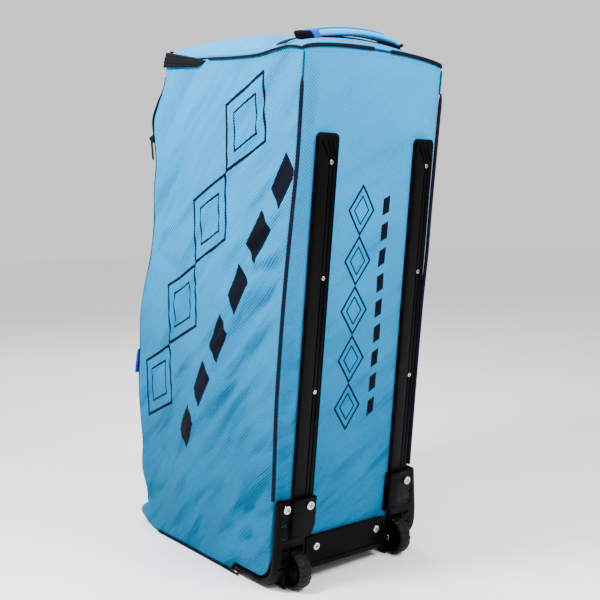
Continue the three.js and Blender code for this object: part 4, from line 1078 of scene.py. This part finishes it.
# %% Top handle
HANDLE_DEPTH = -140.0
TOP_HANDLE = {
    "across": [-103, -78, -39, 0, 39, 78, 98],
    "height": [938.5, 944.5, 950.7, 954, 954.2, 950.5, 946.5],
    "thick": [11.5, 14, 13.5, 12, 11.3, 9.8, 8.5],
    "wide": [30, 35, 37, 38, 37, 34, 28],
}
grip_x = np.linspace(-96, 98, 64)
grip_height = line_through(TOP_HANDLE, "across", "height")
grip_thick = line_through(TOP_HANDLE, "across", "thick")
grip_wide = line_through(TOP_HANDLE, "across", "wide")
rings = []
for x in grip_x:
    ring = oval(grip_wide(x) - 2.4, grip_thick(x) - 0.4, 36, 2.5)
    pinch = 1 - 0.02 * np.cos(x / 6.5) * np.abs(np.cos(x / 21))
    rings.append(stand(x, HANDLE_DEPTH + ring[:, 0], grip_height(x) + ring[:, 1] * pinch))
grip = skin("top_grip", np.array(rings))
shown_as(grip, grip_mesh, "mesh_fabric", "top_handle_grip")
edge_x = np.linspace(-90, 60, 15)
edge = [(x, HANDLE_DEPTH - 0.31 * grip_wide(x), grip_height(x) + 0.40 * grip_thick(x)) for x in edge_x]
shown_as(tube("top_grip_edge_binding", edge, 2.1, 70, up_axis, 12), bright_edge, "band_fabric")

SLANT = 0.65


def sleeve(name, xs, heights, wide, thick):
    rings = []
    for x, height, w, d in zip(xs, heights, wide, thick):
        ring = oval(w, d, 40, 4)
        across = x + math.copysign(SLANT, x) * ring[:, 1]
        rings.append(stand(across, HANDLE_DEPTH + ring[:, 0], height + ring[:, 1]))
    return skin(name, np.array(rings))


band_x = np.linspace(-98, -86, 10)
band_size = (grip_wide(band_x) - 0.6, grip_thick(band_x) + 1.6)
end_binding = sleeve("top_grip_end_binding", band_x, grip_height(band_x) - 0.4, *band_size)
shown_as(end_binding, bright_edge, "band_fabric")
for word, xs in (("left", np.linspace(-116, -97, 16)), ("right", np.linspace(107, 98, 16))):
    share = np.linspace(0, 1, 16)
    swell = np.sqrt(np.clip(1 - (1 - share / 0.16) ** 2, 0.12, 1)) * (share < 0.16) + (share >= 0.16)
    heights = mixed(937.5 if word == "left" else 944.5, grip_height(xs[-1]) - 1.5, share)
    tab = sleeve(f"top_{word}_tab", xs, heights, 26 * swell**0.3, (13.0 if word == "left" else 7.0) * swell)
    shown_as(tab, black_tape, "black_fabric", f"top_handle_{word}_tab")

u, v = np.meshgrid(np.linspace(-150, 130, 130), np.linspace(-12.5, 12.5, 9))
lying = top_height(u, HANDLE_DEPTH + v) + SEAM / 2 + 1.6 + 1.8
apart = eased(u, -36, -20) * eased(u, 60, 46) + eased(np.abs(u), 96, 116)
under_grip = grip_height(u) - grip_thick(u) / 2 - 0.6 - 20 * apart
points = stand(u, HANDLE_DEPTH + v, np.maximum(lying, under_grip))
webbing = strip("top_webbing", points, in_metres(v, u), 1.6)
shown_as(webbing, black_tape, "black_fabric", "top_handle_webbing")
print("top handle: grip", len(grip.data.polygons), "faces")

# %% [markdown]
# The front carry band is a padded blue strap that stands off the lid, held by two looped webbing
# anchors.

# %% Front carry band
BAND = {
    "height": 300.0, "tall": 54.0, "thick": 9.0, "half": 137.0,
    "stand_off": 34.0, "end": 24.0, "droop": 9.0,
}


def front_depth(x, t):
    beyond = np.clip((np.abs(x) - (HALF_WIDTH - CORNER)) / CORNER, 0, 1)
    bent = corner_point(LEFT, np.arccos(beyond), t)[1]
    flat = HALF_WIDTH - CORNER
    held = np.clip(x / flat, -1, 1)
    u = mixed(CORNER_SHARE, 1 - CORNER_SHARE, (held + 1) / 2)
    return np.where(beyond > 0, bent, front_point(u, t)[1])


band_t = np.array((BAND["height"] - LOW) / (HIGH - LOW))
rings = []
for share in np.linspace(0, 1, 60):
    x = mixed(-BAND["half"], BAND["half"], share)
    off = mixed(BAND["end"], BAND["stand_off"], max(0.0, math.sin(share * math.pi)) ** 0.8)
    ring = oval(BAND["tall"], BAND["thick"], 40, 2.6)
    swell = 1 - 0.12 * math.cos(share * 2 * math.pi * 9) ** 2
    out = ring[:, 1] * swell - BAND["droop"] * ring[:, 0] / BAND["tall"]
    rings.append(stand(x, front_depth(x, band_t) + off + out, BAND["height"] + ring[:, 0]))
band = skin("front_band", np.array(rings))
shown_as(band, royal_band, "band_fabric", "front_handle_band")
for side, word in SIDES:
    u, t = np.meshgrid(np.linspace(96, 120, 9) * side, np.linspace(0.18, 0.42, 70))
    x, y, z = u, front_depth(u, t), side_height(front_at(mixed(LOW, HIGH, t)), t)
    points, _ = lifted(stand(x, y, z), 4.2 + 27 * eased(t, 0.19, 0.285) * eased(t, 0.43, 0.335))
    anchor = strip(f"front_{word}_anchor", points, in_metres(x, z), 1.8)
    shown_as(anchor, black_tape, "black_fabric", f"front_handle_{word}_anchor")
print("front band:", len(band.data.polygons), "faces")

# %% [markdown]
# The hard pieces keep the shapes of their solids. Each gets its own copy with doubled points merged,
# flat faces joined and its edges rounded, as a moulded edge is. The rims catch the light then, which is
# most of what shows of black plastic. The side cloth runs on behind the slots of the housings, so a
# strip of it shows through them.

# %% Housings, hubs, axles, kick plate and slider
SLOT_CLOTH = HOUSING_FACE + 2.6
SLOT_INNER, SLOT_OUTER = 139.0, 156.0
SLOT_LOW, SLOT_HIGH = 112.0, 156.0


def finished_copy(node, finish, slot, rounding, body="bag"):
    mesh = solid_mesh(node)
    piece = linked(f"{node}_finished", mesh)
    edit_whole(piece)
    bpy.ops.mesh.remove_doubles(threshold=0.00002)
    bpy.ops.mesh.dissolve_limited(angle_limit=math.radians(1.5))
    bpy.ops.mesh.normals_make_consistent(inside=False)
    bpy.ops.object.mode_set(mode="OBJECT")
    round_edges(piece, rounding / 1000, 32)
    bpy.ops.object.shade_smooth_by_angle(angle=math.radians(38))
    return shown_as(piece, finish, slot, node, body=body)


for side, word in SIDES:
    across = side * np.linspace(SLOT_INNER, SLOT_OUTER, 6)
    u, v = np.meshgrid(across, np.linspace(SLOT_LOW, SLOT_HIGH, 14))
    behind = strip(f"{word}_cloth_behind_slots", stand(u, SLOT_CLOTH, v), in_metres(u, v), 1.2)
    shown_as(behind, plain_blue, "blue_fabric")
hard_faces = 0
for word in ("left", "right"):
    for node, finish, slot, rounding, body in (
        (f"{word}_wheel_housing", hard_black, "black_plastic", 0.7, "bag"),
        (f"{word}_hub", hard_black, "black_plastic", 0.5, f"{word}_wheel"),
        (f"{word}_axle", plated_steel, "steel", 0.3, "bag"),
    ):
        hard_faces += len(finished_copy(node, finish, slot, rounding, body).data.polygons)
hard_faces += len(finished_copy("kick_plate", hard_black, "black_plastic", 0.9).data.polygons)
hard_faces += len(finished_copy("zip_slider", smoked_steel, "steel", 0.4).data.polygons)
hard_faces += len(finished_copy("zip_pull", smoked_steel, "steel", 0.5, "zip_pull").data.polygons)
print("hard pieces:", hard_faces, "faces")

# %% [markdown]
# A skid rail is a flat bar with a rounded top end. Three grooves start below the plain cap, run down on
# a slant and turn into straight grooves along the right part of the bar. Each screw sits in a sunk
# seat. The bar is modelled once in its own flat frame, cut with one tool that holds all grooves and
# seats, then laid on the back twice.

# %% Skid rails
RAIL = {"wide": 42.0, "thick": 7.6, "bottom": 191.5, "long": 597.5, "round": 9.0, "face": -219.0}
RAIL_MIDDLE = {LEFT: -111.0, RIGHT: 115.0}
RAIL_SPLAY = math.radians(0.45)
GROOVES = [(7.4, 25.0), (19.0, 32.6), (26.5, 40.2)]
GROOVE_FROM, GROOVE_BEND = 14.6, 42.0
RAIL_SCREWS = [371.0, 560.0, 744.0]


def add_block(size, place, tilt=0.0):
    bpy.ops.object.select_all(action="DESELECT")
    at = [v / 1000 for v in place]
    bpy.ops.mesh.primitive_cube_add(size=0.001, location=at, rotation=(0, tilt, 0), scale=size)
    bpy.ops.object.transform_apply(location=True, rotation=True, scale=True)
    return bpy.context.object


def add_disc(vertices, radius, depth, place, turn):
    bpy.ops.object.select_all(action="DESELECT")
    size = {"vertices": vertices, "radius": radius, "depth": depth}
    bpy.ops.mesh.primitive_cylinder_add(**size, location=place, rotation=turn)
    return bpy.context.object


def bevel_edges(piece, test, offset, segments):
    activate(piece)
    bpy.ops.object.mode_set(mode="EDIT")
    bpy.ops.mesh.select_mode(type="EDGE")
    bpy.ops.mesh.select_all(action="DESELECT")
    bpy.ops.object.mode_set(mode="OBJECT")
    for edge in piece.data.edges:
        a, b = (piece.data.vertices[k].co * 1000 for k in edge.vertices)
        edge.select = test(a, b)
    bpy.ops.object.mode_set(mode="EDIT")
    bpy.ops.mesh.bevel(offset=offset / 1000, segments=segments, affect="EDGES")
    bpy.ops.object.mode_set(mode="OBJECT")


long, wide, thick = RAIL["long"], RAIL["wide"], RAIL["thick"]
rail = add_block((wide, thick, long), (wide / 2, -thick / 2, long / 2))
rail.name = "rail_model"
bevel_edges(rail, lambda a, b: min(a.z, b.z) > long - 0.1 and abs(a.x - b.x) < 0.1, RAIL["round"], 6)
bevel_edges(rail, lambda a, b: max(a.y, b.y) < 0.1 - thick and max(a.x, b.x) < 0.1, 2.2, 2)
tools = []
for start, end in GROOVES:
    top, bend = long - GROOVE_FROM, long - GROOVE_BEND
    slanted = math.hypot(end - start, top - bend) + 1.5
    place = ((start + end) / 2, -thick, (top + bend) / 2)
    tools.append(add_block((2.2, 3.2, slanted), place, math.atan2(start - end, top - bend)))
    tools.append(add_block((2.2, 3.2, bend + 2), (end, -thick, bend / 2 - 0.6)))
for height in RAIL_SCREWS:
    place = (0.031, -thick / 1000, (height - RAIL["bottom"]) / 1000)
    tools.append(add_disc(28, 0.0058, 0.0056, place, (math.pi / 2, 0, 0)))
bpy.ops.object.select_all(action="DESELECT")
for tool in tools:
    tool.select_set(True)
bpy.context.view_layer.objects.active = tools[0]
bpy.ops.object.join()
cut(rail, tools[0])
round_edges(rail, 0.0006, 30)
bpy.ops.object.shade_smooth_by_angle(angle=math.radians(38))
for side, word in SIDES:
    flat = vertices_of(rail) * 1000 - np.array([wide / 2, 0, 0])
    turn = -side * RAIL_SPLAY
    x = flat[:, 0] * math.cos(turn) + flat[:, 2] * math.sin(turn) + RAIL_MIDDLE[side]
    z = flat[:, 2] * math.cos(turn) - flat[:, 0] * math.sin(turn) + RAIL["bottom"]
    piece = linked(f"{word}_rail_finished", rail.data.copy())
    laid = stand(x, flat[:, 1] + RAIL["face"] + thick, z)
    piece.data.vertices.foreach_set("co", laid.astype(np.float32).ravel())
    piece.data.update()
    shown_as(piece, hard_black, "black_plastic", f"{word}_rail")
bpy.data.objects.remove(rail)
print("rails:", len(piece.data.polygons), "faces each")

# %% [markdown]
# The tyres are turned from one profile: a soft round tread with a row of shallow lugs on both
# shoulders. The profile is spun about the axle, and then the shoulders are pressed in between the lugs.
# A flat cap closes the outer end of the hub.

# %% Wheels
WHEEL = {"across": 119.0, "depth": -217.0, "radius": 34.6, "seat": 24.4, "half": 12.0}
LUGS = 20
wheel_height = (WHEEL["radius"] - WHEEL["depth"] * math.sin(LEAN)) / math.cos(LEAN)
half_turn = np.linspace(0, np.pi, 25)
tread_r = WHEEL["seat"] + 5.4 + 4.8 * np.sin(half_turn) ** 0.75
tread_x = -WHEEL["half"] * np.sign(np.cos(half_turn)) * np.abs(np.cos(half_turn)) ** 0.55
inner_rim = [(WHEEL["seat"], -9.0), (WHEEL["seat"] + 2.5, -11.2)]
outer_rim = [(WHEEL["seat"] + 2.5, 11.2), (WHEEL["seat"], 9.0)]
profile = [*inner_rim, *zip(tread_r, tread_x), *outer_rim]
for side, word in SIDES:
    centre = Vector(stand(side * WHEEL["across"], WHEEL["depth"], wheel_height))
    mesh = bpy.data.meshes.new(f"{word}_tyre_finished")
    section = [(centre.x + x / 1000, centre.y, centre.z + r / 1000) for r, x in profile]
    mesh.from_pydata(section, [(k, (k + 1) % len(section)) for k in range(len(section))], [])
    tyre = linked(f"{word}_tyre_finished", mesh)
    edit_whole(tyre)
    bpy.ops.mesh.spin(steps=LUGS * 12, angle=2 * math.pi, center=centre, axis=(1, 0, 0))
    bpy.ops.mesh.select_all(action="SELECT")
    bpy.ops.mesh.remove_doubles(threshold=0.00002)
    bpy.ops.mesh.normals_make_consistent(inside=False)
    bpy.ops.object.mode_set(mode="OBJECT")
    at = vertices_of(tyre) - np.array(centre)
    radius = np.hypot(at[:, 1], at[:, 2])
    angle = np.arctan2(at[:, 2], at[:, 1]) + np.sign(at[:, 0]) * math.pi / LUGS / 2
    pressed = 0.5 - 0.5 * np.tanh(3.5 * np.sin(angle * LUGS) + 1.6)
    shoulder = eased(np.abs(at[:, 0]) * 1000, 3.5, 7.5) * eased(radius * 1000, 28.5, 30.5)
    at[:, 1:] *= (1 - 0.0016 * pressed * shoulder / radius)[:, None]
    mesh.vertices.foreach_set("co", (at + np.array(centre)).astype(np.float32).ravel())
    mesh.polygons.foreach_set("use_smooth", [True] * len(mesh.polygons))
    mesh.update()
    shown_as(tyre, tread_black, "tyre", f"{word}_tyre", body=f"{word}_wheel")
    place = centre + Vector((side * 0.0133, 0, 0))
    cap = add_disc(40, 0.0086, 0.0012, place, (0, math.pi / 2, 0))
    cap.name = f"{word}_hub_cap"
    bpy.ops.object.transform_apply(location=True, rotation=True, scale=True)
    edit_whole(cap)
    bpy.ops.mesh.bevel(offset=0.0004, segments=2, affect="EDGES")
    bpy.ops.object.mode_set(mode="OBJECT")
    shown_as(cap, hard_black, "black_plastic", body=f"{word}_wheel")
print("tyres:", len(tyre.data.polygons), "faces each, axle height", round(wheel_height, 1))

# %% [markdown]
# The screws are plated, with a low domed head and a cross recess. One is modelled at unit size, then
# every screw is a copy laid on the head of its own solid. The housing screws are a little larger and
# stand further out than theirs.

# %% Screws
bpy.ops.object.select_all(action="DESELECT")
bpy.ops.mesh.primitive_cylinder_add(vertices=40, radius=1, depth=0.5, location=(0, 0, 0.25))
screw = bpy.context.object
screw.name = "screw"
edit_whole(screw)
bpy.ops.mesh.bevel(offset=0.22, segments=4, affect="EDGES")
bpy.ops.object.mode_set(mode="OBJECT")
bpy.ops.mesh.primitive_cube_add(size=1)
recess = bpy.context.object
edit_whole(recess)
bpy.ops.transform.resize(value=(1.1, 0.24, 0.8))
bpy.ops.transform.translate(value=(0, 0, 0.5))
bpy.ops.mesh.duplicate()
bpy.ops.transform.rotate(value=math.pi / 2, orient_axis="Z", center_override=(0, 0, 0))
bpy.ops.object.mode_set(mode="OBJECT")
cut(screw, recess)
activate(screw)
bpy.ops.object.shade_smooth_by_angle(angle=math.radians(30))

PROUD = 1.12
PROUD_LIFT = 0.0012
OUT = np.array([0.0, -math.cos(LEAN), -math.sin(LEAN)])
UP = np.array([0.0, -math.sin(LEAN), math.cos(LEAN)])
screw_nodes = [name for name in nodes if name.endswith("screw") or "_screw_" in name]
for k, name in enumerate(screw_nodes):
    mesh = solid_mesh(name)
    at = np.array([v.co[:] for v in mesh.vertices])
    middle = [(at @ axis).min() / 2 + (at @ axis).max() / 2 for axis in (np.array([1.0, 0, 0]), UP)]
    base, tip = (at @ OUT).min(), (at @ OUT).max()
    radius = np.ptp(at[:, 0]) / 2 * (PROUD if "housing" in name else 1.0)
    turned = Matrix((Vector((1, 0, 0)), Vector(UP), Vector(OUT))).transposed().to_4x4()
    lift = PROUD_LIFT if "housing" in name else 0.0
    turned.translation = Vector(np.array([middle[0], 0, 0]) + UP * middle[1] + OUT * (base + lift))
    scaled = Matrix.Diagonal((radius, radius, (tip - base) / 0.5, 1))
    piece = linked(f"{name}_finished", screw.data.copy())
    piece.data.transform(turned @ scaled @ Matrix.Rotation(0.7 * k, 4, "Z"))
    shown_as(piece, plated_steel, "steel", name)
    bpy.data.meshes.remove(mesh)
bpy.data.objects.remove(screw)
print("screws:", len(screw_nodes))

# %% [markdown]
# Rows of stitches hold the seams. They lie on the finished cloth, so each one looks for the nearest
# point of its panel.

# %% Stitching
STEPS = 240
even = np.linspace(0.005, 0.995, STEPS)
rows = 0
for side, word in SIDES:
    surface = side_cloth[side]
    runs = {
        "back": stand(*side_point(side, np.full(STEPS, 0.016), mixed(0.16, 0.99, even))),
        "zip": stand(*side_point(side, np.full(STEPS, 0.975), mixed(0.01, 0.965, even))),
        "top": stand(*side_point(side, mixed(0.01, 0.66, even), np.full(STEPS, 0.9925))),
    }
    for where, path in runs.items():
        stitch_row(f"{word}_side_{where}_stitches", surface, path, blue_thread)
    edge = 0.018 if side == LEFT else 0.982
    path = stand(*back_point(np.full(STEPS, edge), mixed(0.25, 0.99, even)))
    stitch_row(f"back_{word}_stitches", back_cloth, path, blue_thread)
    path = stand(*top_point(np.full(STEPS, 0.02 if side == LEFT else 0.98), mixed(0.02, 0.98, even)))
    stitch_row(f"top_{word}_stitches", top_cloth, path, blue_thread)
    path = stand(*front_point(np.full(STEPS, 0.02 if side == LEFT else 0.98), mixed(0.02, 0.965, even)))
    stitch_row(f"front_{word}_stitches", front_cloth, path, blue_thread)
    rows += 6
path = stand(*top_point(mixed(0.02, 0.98, even), np.full(STEPS, 0.014)))
stitch_row("top_back_stitches", top_cloth, path, blue_thread)
path = stand(*back_point(mixed(0.02, 0.98, even), np.full(STEPS, 0.991)))
stitch_row("back_top_stitches", back_cloth, path, blue_thread)
bpy.data.objects.remove(stitch)
bpy.data.objects.remove(tooth)
print("stitch rows:", rows + 2)
